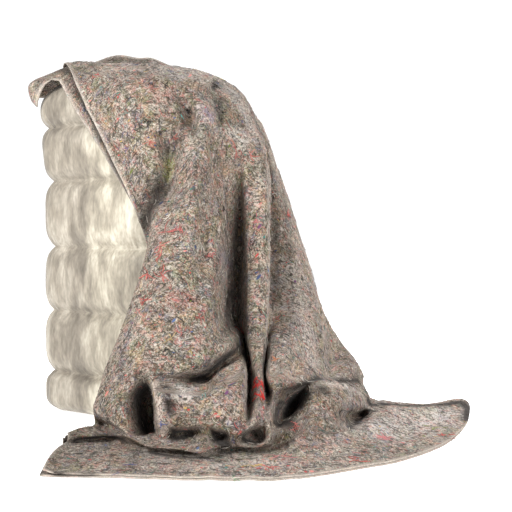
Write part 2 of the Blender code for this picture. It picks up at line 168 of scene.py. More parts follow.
# Fibre streaks: lean from upright, tip towards the camera, how many times longer than wide,
# scale, threshold from and to, colour, strength.
STREAKS = (
    (1.9, 0.2, 13.0, 500.0, 0.58, 0.67, (0.52, 0.47, 0.41), 0.38),
    (1.0, 0.3, 13.0, 520.0, 0.58, 0.67, (0.52, 0.47, 0.41), 0.38),
    (0.3, 0.2, 13.0, 480.0, 0.59, 0.68, (0.48, 0.43, 0.38), 0.34),
    (2.5, 0.4, 13.0, 500.0, 0.59, 0.68, (0.48, 0.43, 0.38), 0.34),
    (1.5, 0.2, 11.0, 350.0, 0.58, 0.65, (0.040, 0.034, 0.026), 0.66),
    (0.7, 0.3, 10.0, 330.0, 0.59, 0.66, (0.040, 0.038, 0.024), 0.66),
    (2.2, 0.2, 10.0, 340.0, 0.59, 0.66, (0.040, 0.032, 0.026), 0.66),
    (0.1, 0.1, 11.0, 350.0, 0.60, 0.67, (0.045, 0.036, 0.030), 0.70),
    (1.7, 0.1, 8.0, 260.0, 0.67, 0.72, (0.34, 0.090, 0.080), 0.42),
    (0.9, 0.3, 8.0, 250.0, 0.68, 0.73, (0.38, 0.18, 0.150), 0.42),
    (2.6, 0.2, 7.0, 250.0, 0.68, 0.73, (0.32, 0.07, 0.06), 0.5),
    (1.3, 0.3, 6.0, 240.0, 0.67, 0.72, (0.05, 0.11, 0.10), 0.5),
    (0.5, 0.2, 6.0, 230.0, 0.66, 0.71, (0.05, 0.06, 0.12), 0.5),
)
# Coloured flecks: scale, chance of a cell, size in the cell, lean, tip, how many times longer.
FLECKS = (
    (230.0, 0.034, 0.42, 1.3, 0.3, 2.8),
    (120.0, 0.024, 0.38, 0.6, 0.2, 2.6),
)
FLECK_EDGE = 0.005  # over what chance a cell's fleck comes in
FLECK_CORE = 0.55  # share of a fleck's size that has its full colour
FLECK_TINTS = (
    (0.0, (0.40, 0.05, 0.05)),
    (0.22, (0.48, 0.17, 0.145)),
    (0.36, (0.04, 0.06, 0.13)),
    (0.50, (0.03, 0.14, 0.12)),
    (0.62, (0.10, 0.12, 0.03)),
    (0.74, (0.12, 0.05, 0.11)),
    (0.84, (0.36, 0.24, 0.07)),
    (0.90, (0.07, 0.11, 0.22)),
)
# Painted shade in the deep folds, listed: half width in mm, strength, and the way over the picture.
SHADES = (
    (27, 1.5, ((143, 389), (142, 424))),  # cavern under the left of the roll
    (13, 1.6, ((173, 434), (192, 434))),  # hollow below the roll
    (12, 1.6, ((219, 434), (225, 446))),  # gap beside the curl
    (9, 1.8, ((244, 440), (262, 440))),  # hole of the small loop
    (24, 1.6, ((287, 411), (303, 394))),  # cavern right of the roll
    (13, 0.95, ((288, 400), (308, 394), (324, 389))),  # under the hem of the right panel
    (19, 1.35, ((281, 402), (284, 424))),  # right side of the curl
    (7, 1.2, ((350, 428), (361, 419), (371, 410))),  # pocket by the far right
    (11, 1.3, ((192, 380), (206, 376), (224, 357), (238, 344))),  # swag crease
    (6, 1.3, ((248, 348), (249, 400))),  # left slit
    (6, 1.3, ((265, 346), (265, 394))),  # right slit
    (30, 0.46, ((236, 225), (233, 285))),  # valley left of the long ridge
    (19, 0.85, ((231, 292), (229, 328))),  # foot of that valley
    (17, 0.6, ((270, 170), (274, 230), (275, 300))),  # valley right of the long ridge
    (30, 0.92, ((146, 220), (152, 206), (159, 190))),  # hood valley, low
    (18, 0.42, ((172, 150), (182, 128), (192, 112))),  # hood valley, high
    (9, 0.55, ((220, 98), (221, 122))),  # under the crown notch
    (7, 1.1, ((213, 88), (217, 82))),  # crown notch
    (7, 1.4, ((76, 440), (92, 438), (110, 437), (124, 440))),  # under the left ridge of the skirt
    (9, 1.0, ((150, 452), (175, 457), (205, 458))),  # under the front of the curl
    (10, 1.8, ((368, 402), (390, 404), (415, 406), (440, 405), (460, 402))),  # tail back edge
    (8, 1.5, ((463, 403), (468, 409), (467, 420))),  # tail tip
    (9, 1.3, ((282, 392), (295, 388), (308, 384), (321, 379))),  # hem of the right panel
    (8, 1.0, ((335, 380), (348, 381), (358, 380))),  # right end of that hem
    (14, 0.45, ((92, 66), (108, 62), (125, 60), (142, 61))),  # far strip of the crown
    (12, 0.8, ((253, 112), (262, 134), (268, 158))),  # valley right of the long ridge, high
    (20, 0.35, ((284, 200), (287, 260), (286, 300))),  # band right of the long ridge
    (7.5, 1.5, ((166, 386), (170, 405), (174, 432))),  # right side of the roll strip
    (5, 0.9, ((56, 473), (74, 475), (94, 473))),  # front left gape
    (5, 0.5, ((100, 470), (160, 472), (235, 473))),  # line above the front hem
)
# Broad patches of one colour: stains of the felt, and painted highlights and painted shade on folds. Half
# width in mm, strength, colour, and the way over the picture.
STAINS_AND_PAINTED_LIGHT = (
    # painted highlight on the lit edge of the leg
    (9, 0.35, (0.52, 0.46, 0.4), ((152, 230), (161, 206), (173, 187), (182, 165), (190, 142))),
    (16, 0.4, (0.46, 0.41, 0.37), ((100, 70), (130, 70), (165, 74), (200, 80))),  # painted highlight on the crown
    (9, 0.55, (0.54, 0.5, 0.46), ((228, 88), (240, 106), (252, 132))),  # painted highlight on the lit shoulder
    (28, 0.55, (0.52, 0.47, 0.43), ((296, 305), (306, 335), (312, 358))),  # painted light on the right panel
    (7, 2.2, (0.6, 0.49, 0.41), ((155, 384), (159, 404), (164, 434))),  # painted highlight on the lit edge of the roll
    # painted highlight on the lip of the roll
    (6, 1.1, (0.5, 0.43, 0.37), ((128, 441), (150, 448), (175, 453), (197, 457), (212, 451))),
    (6, 1.1, (0.5, 0.43, 0.37), ((216, 450), (236, 457), (258, 456), (267, 446))),  # painted highlight on the lip of the curl
    (7, 0.6, (0.5, 0.45, 0.4), ((312, 386), (332, 384), (352, 389), (364, 397))),  # painted highlight on the top of the right hump
    (24, 0.5, (0.17, 0.13, 0.08), ((322, 404), (336, 411))),  # brown hump
    (10, 1.1, (0.23, 0.25, 0.06), ((166, 177), (171, 160))),  # olive patch
    (13, 0.6, (0.22, 0.19, 0.34), ((205, 110), (210, 116))),  # violet patch
    (15, 0.7, (0.58, 0.54, 0.49), ((232, 134), (244, 140))),  # pale patch
    (60, 0.45, (0.62, 0.58, 0.56), ((385, 430), (420, 424), (445, 415))),  # painted light on the tail
    (30, 0.3, (0.52, 0.47, 0.42), ((130, 456), (200, 466), (280, 465))),  # light skirt
    (26, 0.5, (0.54, 0.49, 0.45), ((290, 270), (296, 305))),  # painted light on the right panel, high
    (15, 0.7, (0.6, 0.57, 0.54), ((178, 386), (186, 394))),  # pale patch
    (18, 0.45, (0.33, 0.13, 0.1), ((148, 84), (164, 94))),  # rust cluster
    (16, 0.55, (0.34, 0.12, 0.11), ((174, 300), (190, 304))),  # rust patch
    (16, 0.6, (0.09, 0.095, 0.16), ((222, 256), (230, 264))),  # navy patch
    (20, 0.45, (0.22, 0.15, 0.08), ((236, 236), (238, 290))),  # brown patch
    (18, 0.22, (0.36, 0.17, 0.16), ((98, 114), (106, 128))),  # dusty pink
    (18, 0.5, (0.09, 0.08, 0.065), ((150, 196), (156, 180))),  # painted shade low in the hood valley
)

# ---- loose fibres ----
LOOSE_FIBRES = 3900
FIBRE_SEED = 8
FIBRE_STEPS = 6
FIBRE_CORNERS = (0, 2.1, 4.2)  # angles round a fibre
FIBRE_LENGTHS = (0.006, 0.020)
FIBRE_THICK = 0.00046
TUFT_THICK = 0.00065
FIBRE_TAPER = 0.6  # how much thinner a fibre is at its ends
FIBRE_LIFT = 0.0002
FIBRE_END = 0.0020  # how high a loose end may stand
FIBRE_BEND = 0.25
FIBRE_WOBBLE = 0.2
FIBRE_STRAY = 0.003  # how far from the middle of its face a loose fibre starts
TUFT_STRAY = 0.55  # how far from the middle of its tuft a fibre starts, as a share of the spread
TUFT_LENGTHS = (0.5, 1.2)  # range of lengths in a tuft
TINT_RANGE = (0.75, 1.2)
FIBRE_SKEW = 2.6  # how far down the colours the random pick reaches
FIBRE_COLOURS = (
    (0.045, 0.038, 0.030),
    (0.52, 0.47, 0.41),
    (0.030, 0.027, 0.026),
    (0.44, 0.39, 0.34),
    (0.30, 0.105, 0.090),
    (0.10, 0.085, 0.065),
    (0.40, 0.20, 0.165),
    (0.13, 0.14, 0.05),
    (0.06, 0.08, 0.18),
    (0.05, 0.18, 0.15),
    (0.40, 0.27, 0.10),
)
FIBRE_SURFACE = {"Roughness": 0.9, "Specular IOR Level": 0.15}
TUFT_GREY = (0.30, 0.26, 0.22)
TUFT_FADE = 0.26  # share of that grey in a tuft's colour
TUFT_BLACK = 0.05  # a colour darker than this isn't faded
VIVID_RED = (0.60, 0.05, 0.045)  # nor is this one
# Tufts of coloured fibres: their place in the picture, spread in mm, how many, their length in mm,
# colour.
TUFT_PLACES = (
    ((98, 75), 7, 14, 12, (0.52, 0.08, 0.075)),  # red
    ((118, 97), 3, 6, 7, (0.55, 0.04, 0.04)),  # red
    ((258, 382), 8, 26, 16, VIVID_RED),  # red
    ((261, 396), 8, 26, 16, VIVID_RED),  # red
    ((239, 330), 7, 18, 10, (0.42, 0.035, 0.035)),  # red
    ((166, 233), 3, 8, 26, (0.56, 0.1, 0.1)),  # red line
    ((182, 233), 3, 7, 20, (0.56, 0.1, 0.1)),  # red line
    ((160, 246), 3, 7, 22, (0.56, 0.13, 0.12)),  # red line
    ((148, 274), 3, 10, 24, (0.56, 0.08, 0.07)),  # red line
    ((162, 276), 3, 8, 22, (0.56, 0.08, 0.07)),  # red line
    ((158, 258), 5, 8, 12, (0.5, 0.1, 0.09)),  # red
    ((144, 300), 5, 12, 12, (0.55, 0.08, 0.07)),  # red
    ((138, 313), 5, 9, 12, (0.58, 0.22, 0.2)),  # pink
    ((212, 255), 3, 6, 14, (0.5, 0.08, 0.08)),  # red
    ((258, 222), 6, 14, 10, (0.58, 0.12, 0.15)),  # pink red
    ((288, 214), 5, 12, 11, (0.5, 0.06, 0.05)),  # red
    ((277, 319), 6, 11, 11, (0.46, 0.08, 0.07)),  # red
    ((276, 360), 5, 9, 10, (0.5, 0.17, 0.07)),  # orange
    ((200, 316), 6, 12, 11, (0.4, 0.07, 0.06)),  # red
    ((183, 332), 5, 9, 11, (0.45, 0.06, 0.06)),  # red
    ((236, 150), 4, 9, 20, (0.52, 0.09, 0.08)),  # red line
    ((250, 155), 4, 8, 18, (0.52, 0.09, 0.08)),  # red line
    ((152, 88), 10, 14, 13, (0.42, 0.15, 0.12)),  # dusty red
    ((182, 117), 3, 7, 8, (0.05, 0.36, 0.33)),  # teal
    ((166, 127), 6, 8, 10, (0.13, 0.2, 0.08)),  # green
    ((127, 150), 3, 6, 9, (0.12, 0.08, 0.26)),  # violet
    ((165, 85), 3, 9, 11, (0.02, 0.018, 0.016)),  # black
    ((189, 111), 3, 10, 12, (0.02, 0.018, 0.016)),  # black
    ((148, 122), 4, 9, 8, (0.02, 0.018, 0.018)),  # black
    ((223, 209), 3, 8, 8, (0.02, 0.02, 0.022)),  # black
    ((221, 110), 5, 9, 12, (0.02, 0.018, 0.016)),  # black
    ((167, 350), 6, 10, 12, (0.03, 0.03, 0.034)),  # black
    ((171, 338), 4, 7, 14, (0.48, 0.33, 0.13)),  # yellow
    ((192, 350), 4, 6, 10, (0.42, 0.32, 0.12)),  # yellow
    ((162, 424), 3, 8, 9, (0.07, 0.12, 0.34)),  # blue
    ((130, 465), 5, 8, 12, (0.08, 0.11, 0.28)),  # blue
    ((237, 478), 3, 6, 8, (0.05, 0.24, 0.1)),  # green
    ((252, 466), 8, 12, 16, (0.52, 0.34, 0.08)),  # yellow
    ((239, 430), 4, 9, 12, (0.55, 0.06, 0.06)),  # red
    ((266, 468), 9, 16, 18, (0.52, 0.07, 0.07)),  # red
    ((280, 457), 12, 20, 22, (0.62, 0.2, 0.2)),  # pink
    ((355, 460), 10, 16, 20, (0.5, 0.07, 0.06)),  # red
    ((388, 440), 14, 24, 24, (0.66, 0.2, 0.22)),  # pink
    ((446, 436), 10, 16, 20, (0.52, 0.07, 0.06)),  # red
    ((432, 428), 12, 14, 20, (0.32, 0.36, 0.12)),  # olive
    ((296, 429), 8, 14, 13, (0.42, 0.08, 0.07)),  # red
    ((322, 431), 4, 8, 10, (0.05, 0.12, 0.11)),  # teal
    ((205, 397), 3, 5, 8, (0.06, 0.28, 0.26)),  # teal
    ((252, 246), 3, 9, 16, (0.03, 0.026, 0.026)),  # stitch
    ((216, 86), 3, 16, 10, (0.02, 0.018, 0.016)),  # notch: black fibres as painted shade in the crown notch
    ((140, 128), 7, 10, 12, (0.025, 0.022, 0.02)),  # black
    ((205, 256), 6, 9, 12, (0.025, 0.022, 0.02)),  # black
    ((190, 300), 7, 10, 12, (0.03, 0.026, 0.022)),  # black
    ((183, 390), 6, 10, 16, (0.7, 0.65, 0.58)),  # cream
    ((170, 215), 7, 10, 18, (0.66, 0.6, 0.52)),  # cream
    ((232, 320), 7, 9, 16, (0.66, 0.6, 0.52)),  # cream
    ((150, 142), 4, 8, 13, (0.46, 0.07, 0.06)),  # red
    ((175, 138), 4, 8, 13, (0.46, 0.07, 0.06)),  # red
)

# ---- bale ----
BALE_LONG = 0.352
BALE_SHORT = 0.284
BALE_TURN = math.radians(-38)
BALE_CENTRE = (-0.0197, 0.0154)
BALE_LEAN = -0.008  # how far the top bulge has slid to the left
BALE_CORNER = 0.070
CORNER_LOSS = 0.6  # how much of an inset the corners' rounding loses
LEAST_CORNER = 0.012
MOST_CORNER = 0.98  # as a share of half the short side
BALE_TOP = 0.6968
BALE_SHOULDER = 0.618  # where the top starts to round over
BALE_ROUND = 0.085  # how far the rounded top edge goes in
BALE_FOOT = 0.030  # rounding of the bottom edge
FOOT_IN = 1.2  # how far the bottom edge goes in, as a share of its rounding
CROWN_RISE = 0.012  # height of the last soft dome on the top
CROWN_IN = 0.05  # how far in it goes
PINCH = 0.014  # depth of the grooves
GROOVES = (0.0, 0.083, 0.207, 0.338, 0.472, 0.581)
BALE_AROUND = 288
BALE_PER_BULGE = 26
FOOT_RINGS = 8
SHOULDER_RINGS = 8
ROUND_RINGS = 21
CROWN_RINGS = 6
# Upright creases: depth, how many round the bale and up it, random seed, their share on a bulge,
# and how much more of them there is in a groove.
BALE_CREASES = (
    (0.0022, 52, 11, 31, 0.5, 1.0),
    (0.0012, 110, 26, 32, 0.3, 1.5),
)
BALE_TONES = (
    (0.30, (0.15, 0.130, 0.104)),
    (0.50, (0.285, 0.255, 0.208)),
    (0.70, (0.48, 0.445, 0.380)),
)
BALE_SPECKS = (
    (0.3, (0.70, 0.69, 0.66)),
    (0.7, (1.2, 1.19, 1.17)),
)
BALE_PAINTED_SIDE_LIGHT = ((0.0, (0.80, 0.78, 0.76)), (1.0, (1.22, 1.22, 1.18)))  # painted shade on its left flank, a painted reflection on its front
BALE_TURNS = (-0.135, -0.080)  # from left to right, where the flank gives way to the front
SIDE_WANDER = 0.04  # how far the creases shift that border
BALE_DRAWN = 0.35  # how much the cloth's creases are drawn out upright
STREAK_NOISE = (26.0, 3.0, 0.6, 0.4)  # scale, detail, roughness, distortion
SPECK_NOISE = (190.0, 2.0, 0.6)
SPECK_SHARE = 0.8
STREAK_HEIGHT, SPECK_HEIGHT = 1.2, 0.35  # shares of the bump
BALE_BUMP = 0.4
BALE_SURFACE = {"Roughness": 0.62, "Sheen Weight": 0.15}

# ---- floor and light ----
FLOOR_REACH = 8.0
FLOOR_SURFACE = {
    "Base Color": (0.95, 0.95, 0.95, 1),
    "Roughness": 0.9,
    "Emission Color": (1, 1, 1, 1),
    "Emission Strength": 0.74,
}
WORLD_LIGHT = 0.34
WORLD_SEEN = 1.15
# Softboxes: name, place, what it points at, size, power.
LAMPS = (
    ("key", (-1.9, -1.9, 1.8), (0.05, -0.1, 0.3), (0.8, 0.8), 101),
    ("back", (1.3, 1.6, 2.0), (0.1, 0.0, 0.4), (1.0, 1.2), 92),
    ("fill", (1.6, -2.4, 0.9), (0.15, -0.1, 0.3), (1.6, 1.6), 60),
)

# ---- main folds ----
# The fold lines were traced over the photograph, each from the cut edge to the fold: across
# and down in its pixels, with how far back or how high each place lies in mm. Places that the
# photograph doesn't show are in mm alone.
HORIZON = 226  # the picture's row at the camera's height
SPACING_POWER = 0.8  # evens out how far apart the columns lie
FINE_BELOW = 40  # mm above the floor


def over(*spots):
    """Points from places across the picture, how far back each lies, and its height."""
    left, front, _ = np.array(CAMERA_PLACE) * 1000
    return [(left + (x - FRAME_PIXELS / 2) * (y - front) / FOCAL_PIXELS, y, z) for x, y, z in spots]


def at_depth(*spots):
    """Points from places across and down the picture, and how far back each lies."""
    _, front, high = np.array(CAMERA_PLACE) * 1000
    return over(*((x, y, high - (down - HORIZON) * (y - front) / FOCAL_PIXELS) for x, down, y in spots))


def at_height(*spots):
    """Points from places across and down the picture, and each one's height."""
    _, front, high = np.array(CAMERA_PLACE) * 1000
    return over(*((x, front + (high - z) * FOCAL_PIXELS / (down - HORIZON), z) for x, down, z in spots))


def moved_back(points, step, height):
    """The same points further back, at one height."""
    return [(x, y + step, height) for x, y, _ in points]


FLOOR_LIP = at_height((62, 440, 18), (76, 437, 21), (92, 436.5, 21), (108, 437, 21), (125, 437, 32),
    (141, 445, 22), (153, 448, 20), (168, 449, 20), (184, 451, 19), (200, 454, 19), (216, 449, 21),
    (233, 447, 20), (248, 448, 20), (259, 447.5, 20), (269, 444, 24), (275, 438, 30)) + at_depth(
    (291, 424, -385), (309, 412, -345), (328, 406, -335), (352, 407, -280), (369, 403, -150),
    (372, 399, 0))
# From the rear hem to the front hem: how far the top layer's left edge lies behind the lower layer's,
# as a share of the width, the line's weight in spacing the columns, and its points.
FOLD_LINES = (
    # rear hem
    (0.085, 1, at_depth((35, 108, -10), (31, 99, 50)) + [(-205, 110, 665), (-155, 145, 722),
        (-120, 160, 745), (-80, 165, 757), (-40, 165, 752), (-8, 165, 751), (20, 170, 740), (50, 175, 725),
        (65, 175, 715), (85, 180, 702), (110, 185, 685), (130, 185, 668), (150, 190, 645), (165, 195, 615),
        (185, 200, 585), (200, 205, 550), (215, 210, 510), (225, 215, 470), (232, 220, 430),
        (235, 225, 390)]),
    # behind the crown
    (0.08, 1, at_depth((39, 94, -30), (29, 84, 20)) + [(-185, 75, 695), (-130, 95, 708), (-100, 100, 713),
        (-65, 100, 715), (-35, 100, 715), (-5, 100, 715), (30, 105, 713), (60, 110, 709), (80, 115, 704),
        (100, 120, 698), (125, 120, 688), (150, 125, 674), (170, 130, 655), (190, 135, 635), (207, 140, 610),
        (220, 145, 580), (230, 150, 545), (240, 155, 510), (243, 165, 470), (240, 175, 430)]),
    # crown
    (0.068, 1, at_depth((46, 82, -45), (50, 74, -20), (75, 64, 0), (105, 65, 20), (122, 63.5, 30),
        (136, 65.5, 30), (150, 62.5, 30), (163, 66, 30), (180, 68.5, 35), (197, 71, 40), (206, 73.5, 45),
        (214, 77, 50), (226, 82, 50), (236, 88, 55), (243, 95, 60), (248, 102, 70), (253, 110, 80),
        (257, 118, 90), (259, 127, 105), (260, 137, 125), (258, 147, 140), (253, 155, 160))),
    # front rim
    (0.034, 1, at_depth((56, 79, -55), (73, 70, -60), (93, 67, -70), (113, 67, -90), (131, 67, -100),
        (143, 68, -110), (154, 66, -115), (164, 68, -115), (178, 71, -110), (194, 74, -100), (203, 77, -90),
        (211, 80, -80), (222, 86, -65), (233, 92, -45), (239, 97, -20), (245, 104, 0), (250, 111, 25),
        (255, 119, 45), (258, 129, 65), (260, 140, 90), (260, 152, 110), (255, 160, 140))),
    # turn of the rim
    (0.03, 1, at_depth((64, 92, -80), (84, 88, -115), (104, 84, -145), (124, 82, -165), (140, 81, -175),
        (153, 81, -180), (164, 81, -180), (173, 82, -175), (184, 84, -165), (197, 86, -160), (206, 87, -150),
        (214, 89, -140), (226, 93, -120), (238, 98, -95), (245, 102, -65), (251, 108, -30), (256, 116, 0),
        (260, 126, 20), (263, 137, 40), (266, 148, 65), (266, 158, 90), (261, 164, 120))),
    # hood
    (0.026, 1, at_depth((80, 120, -105), (101, 118, -150), (121, 116, -180), (141, 115, -200),
        (156, 114, -210), (169, 114, -205), (180, 114, -197), (189, 115, -172), (197, 115, -200),
        (206, 115, -205), (213, 116, -195), (221, 117, -175), (233, 119, -155), (249, 121, -130),
        (256, 122, -75), (260, 124, -40), (263, 128, -10), (266, 134, 15), (268, 142, 35), (270, 150, 55),
        (270, 160, 80), (265, 168, 110))),
    # chest
    (0.016, 2, at_depth((104, 158, -137), (124, 156, -174), (143, 154, -203), (158, 153, -207),
        (169, 152, -180), (181, 152, -220), (190, 152, -240), (197, 152, -245), (205, 152, -235),
        (213, 152, -210), (220, 152, -200), (228, 153, -190), (239, 154, -175), (248, 155, -175),
        (263, 156, -160), (267, 158, -85), (270, 161, -45), (273, 163, -10), (276, 166, 15), (278, 169, 35),
        (279, 174, 60), (275, 180, 90))),
    # waist
    (0.01, 2, at_depth((148, 241, -215), (150, 240, -222), (151, 240, -238), (148, 243, -265),
        (158, 245, -295), (170, 246, -310), (182, 246, -315), (194, 247, -310), (204, 248, -285),
        (213, 249, -285), (221, 249, -260), (230, 249, -190), (240, 249, -130), (249, 250, -215),
        (266, 250, -225), (270, 250, -120), (279, 250, -90), (292, 250, -75), (300, 250, -45),
        (304, 250, -10), (304, 250, 35), (298, 250, 80))),
    # hips
    (0.008, 2, at_depth((165, 320, -225), (158, 320, -235), (142, 320, -255), (124, 320, -295),
        (132, 320, -330), (146, 321, -350), (160, 322, -360), (175, 323, -365), (192, 324, -365),
        (205, 324, -360), (214, 323, -340), (225, 322, -280), (236, 320, -160), (249, 321, -265),
        (264, 322, -275), (269, 320, -180), (283, 320, -170), (302, 318, -160), (317, 316, -120),
        (322, 315, -60), (325, 315, -5), (318, 315, 60))),
    # swag
    (0.008, 2, at_depth((158, 372, -240), (143, 374, -250), (120, 378, -275), (103, 377, -315),
        (112, 377, -350), (126, 377, -375), (141, 374, -385), (157, 371, -390), (180, 372, -395),
        (203, 366, -385), (215, 356, -370), (232, 343, -335), (243, 333, -190), (251, 345, -310),
        (263, 345, -315), (267, 345, -200), (272, 347, -285), (305, 347, -220), (321, 345, -160),
        (328, 345, -70), (343, 345, -10), (338, 345, 50))),
    # crease of the swag
    (0.008, 1, at_depth((150, 400, -250), (132, 401, -260), (112, 400, -285), (97, 395, -330),
        (108, 396, -365), (124, 393, -385), (142, 383, -370), (154, 380, -385), (180, 381, -370),
        (206, 378, -300), (216, 370, -285), (236, 355, -295), (247, 350, -180), (253, 365, -330),
        (262, 365, -335), (266, 366, -200), (270, 363, -330), (300, 362, -260), (321, 360, -185),
        (331, 360, -90), (354, 360, -30), (350, 360, 50))),
    # top of the roll
    (0.008, 1, at_depth((140, 420, -260), (120, 418, -270), (102, 412, -300), (92, 407, -335),
        (106, 410, -375), (126, 408, -395), (149, 405, -290), (154.5, 395, -425), (178, 392, -435),
        (206, 392, -430), (218, 382, -425), (242, 374, -410), (248, 382, -250), (254, 385, -380),
        (262, 385, -385), (265, 384, -220), (270, 382, -375), (296, 374, -310), (321, 370, -220),
        (333, 373, -130), (361, 374, -60), (358, 374, 20))),
    # lip of the roll
    (0.008, 1, at_depth((100, 430, -270), (95, 428, -290), (94, 424, -315), (94, 414, -345),
        (110, 423, -385), (130, 432, -410), (151, 428, -300), (158, 425, -435), (182, 427, -445),
        (205, 424, -450), (216, 428, -455), (236, 430, -460), (249, 428, -455), (257, 421, -445),
        (264, 414, -425), (271, 405, -400), (279, 392, -365), (303, 384, -325), (321, 378, -250),
        (338, 382, -170), (362, 384, -80), (360, 384, 10))),
    # recess
    (0.008, 1, at_height((66, 437, 22), (80, 430, 28), (96, 428, 28), (104, 425, 30)) + at_depth(
        (121, 431, -405), (137, 440, -430), (150, 436, -400), (166, 441, -440), (182, 434.5, -400),
        (207, 436, -445), (218, 437, -400), (232, 440, -455), (251, 436, -400), (259, 436, -405),
        (268, 434, -445), (273, 424, -400), (291, 412, -210), (307, 387, -310), (325, 383, -290),
        (348, 386, -230), (366, 393, -120), (366, 392, 20))),
    # floor lip
    (0.008, 1, FLOOR_LIP),
    # tuck
    (0.008, 1, moved_back(FLOOR_LIP[:1], 12, 10) + moved_back(FLOOR_LIP[1:4], 22, 10.8) +
        moved_back(FLOOR_LIP[4:16], 34, 10.8) + at_depth((295, 438, -400), (312, 424, -360),
        (336, 424, -345)) + at_height((360, 417, 14)) + at_depth((370, 410, -190), (390, 402, 5))),
    # start of the skirt
    (0.008, 1, moved_back(FLOOR_LIP[:1], 4, 6.6) + moved_back(FLOOR_LIP[1:4], 15, 6.6) +
        moved_back(FLOOR_LIP[4:16], 27, 6.6) + at_depth((300, 444, -425), (318, 437, -385), (346, 432, -345),
        (366, 430, -330), (385, 415, -210), (425, 404.5, 0))),
    # skirt
    (0.007, 1, at_depth((50, 460, -460), (64, 460, -470), (88, 460, -485), (112, 460, -495),
        (132, 461, -500), (146, 462, -510), (158, 463, -515), (172, 464, -520), (188, 466, -530),
        (204, 467, -535), (219, 466, -530), (236, 465, -525), (251, 464, -520), (262, 463, -515),
        (275, 462, -510), (288, 460, -500), (305, 456, -480), (326, 450, -450), (355, 443, -390),
        (380, 437, -345), (416, 424, -200), (462, 399, 35))),
    # front hem
    (0.006, 1.5, over((38, -593, 6.6), (56, -595, 6.6), (78, -596, 6.6), (98, -599, 6.6), (116, -603, 6.6),
        (132, -608, 6.6), (147, -612, 6.6), (160, -614, 6.6), (176, -616, 6.6), (194, -617, 6.6),
        (209, -618, 6.6), (225, -618, 6.6), (242, -618, 6.6), (256, -618, 6.6), (272, -618, 6.6),
        (288, -612, 6.6), (306, -600, 6.6), (332, -575, 6.6), (365, -535, 6.6), (400, -490, 6.6),
        (443, -370, 6.6), (469, -156, 6.6))),
)
SET_BACKS, WEIGHTS, TRACED = zip(*FOLD_LINES)


def fold_lines():
    """The fold lines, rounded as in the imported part: to 1 mm, and to 0.1 mm in height near the floor."""
    lines = np.round(TRACED)
    heights = np.array(TRACED)[:, :, 2]
    lines[:, :, 2] = np.where(heights < FINE_BELOW, np.round(heights, 1), lines[:, :, 2])
    return lines / 1000


def column_spacing():
    """Each fold line's places across the cloth, as shares of its width, by how far apart they lie."""
    apart = np.linalg.norm(np.diff(TRACED, axis=1), axis=2)
    at = np.cumsum([0, *np.average(apart, axis=0, weights=WEIGHTS) ** SPACING_POWER])
    return np.round(at / at[-1], 3)


LINES = fold_lines()
SECTIONS = column_spacing()


# ---- shape ----
def smooth(share):
    """From 0 to 1 with soft ends."""
    return share * share * (3 - 2 * share)


def bell(distance, width):
    """1 at no distance, and soft down to 0 beyond the width."""
    return np.exp(-((distance / width) ** 2))


def unit(vectors):
    """The same ways with length 1."""
    return vectors / np.maximum(np.linalg.norm(vectors, axis=-1, keepdims=True), 1e-12)


def curve(points, at, where):
    """Smooth curve through points given at rising parameters, read at each place in where."""
    points = np.asarray(points, float)
    at = np.asarray(at, float)
    where = np.asarray(where, float)
    step = np.diff(at)
    slope = np.diff(points, axis=0) / step[:, None]
    turn = np.empty_like(points)
    turn[1:-1] = (slope[:-1] * step[1:, None] + slope[1:] * step[:-1, None]) / (
        step[:-1] + step[1:]
    )[:, None]
    turn[0] = 1.5 * slope[0] - 0.5 * turn[1]
    turn[-1] = 1.5 * slope[-1] - 0.5 * turn[-2]
    i = np.clip(np.searchsorted(at, where, side="right") - 1, 0, len(at) - 2)
    s = ((where - at[i]) / step[i])[:, None]
    h = step[i][:, None]
    return (
        (2 * s**3 - 3 * s**2 + 1) * points[i]
        + (s**3 - 2 * s**2 + s) * h * turn[i]
        + (3 * s**2 - 2 * s**3) * points[i + 1]
        + (s**3 - s**2) * h * turn[i + 1]
    )


def row_plan():
    """How many mesh rows run from each fold line to the next."""
    plan = []
    for apart in np.linalg.norm(np.diff(LINES, axis=0), axis=2).mean(axis=1):
        plan.append(max(FEWEST_ROWS, round(apart / ROW_STEP)))
    return plan


ROWS = row_plan()


def cloth_face(shares):
    """Outer face of the draped cloth at each column's place across it, columns by rows by xyz."""
    lines = np.array([curve(points, SECTIONS, across) for points, across in zip(LINES, shares)])
    face = []
    for c in range(lines.shape[1]):
        column = lines[:, c]
        pace = np.sqrt(np.maximum(np.linalg.norm(np.diff(column, axis=0), axis=1), 1e-4))
        at = np.concatenate([[0], np.cumsum(pace)])
        where = []
        for k, rows in enumerate(ROWS):
            where += list(np.linspace(at[k], at[k + 1], rows, endpoint=False))
        where.append(at[-1])
        face.append(curve(column, at, where))
    face = np.array(face)
    face[:, :, 2] = np.maximum(face[:, :, 2], FLOOR_TOP)
    return face


def outward(face):
    """Unit normal at each point, turned so that every facet round the point faces with it."""
    far = face[1:, 1:] - face[:-1, :-1]
    upper = np.cross(far, face[1:, :-1] - face[:-1, :-1])
    lower = np.cross(face[:-1, 1:] - face[:-1, :-1], far)
    facets = []
    for normal, corners in ((upper, ((0, 0), (1, 1), (1, 0))), (lower, ((0, 0), (0, 1), (1, 1)))):
        normal = unit(normal)
        for i, j in corners:
            spread = np.zeros_like(face)
            spread[i : i + normal.shape[0], j : j + normal.shape[1]] = normal
            facets.append(spread)
    facets = np.array(facets)
    there = np.linalg.norm(facets, axis=3) > 0.5
    n = unit(facets.sum(axis=0))
    for turn in range(NORMAL_ROUNDS):
        dots = np.where(there, np.sum(facets * n, axis=3), np.inf)
        worst = np.argmin(dots, axis=0)
        pull = np.take_along_axis(facets, worst[None, :, :, None], axis=0)[0]
        n = unit(n + pull * 0.5 / (1 + turn / 4))
    return n


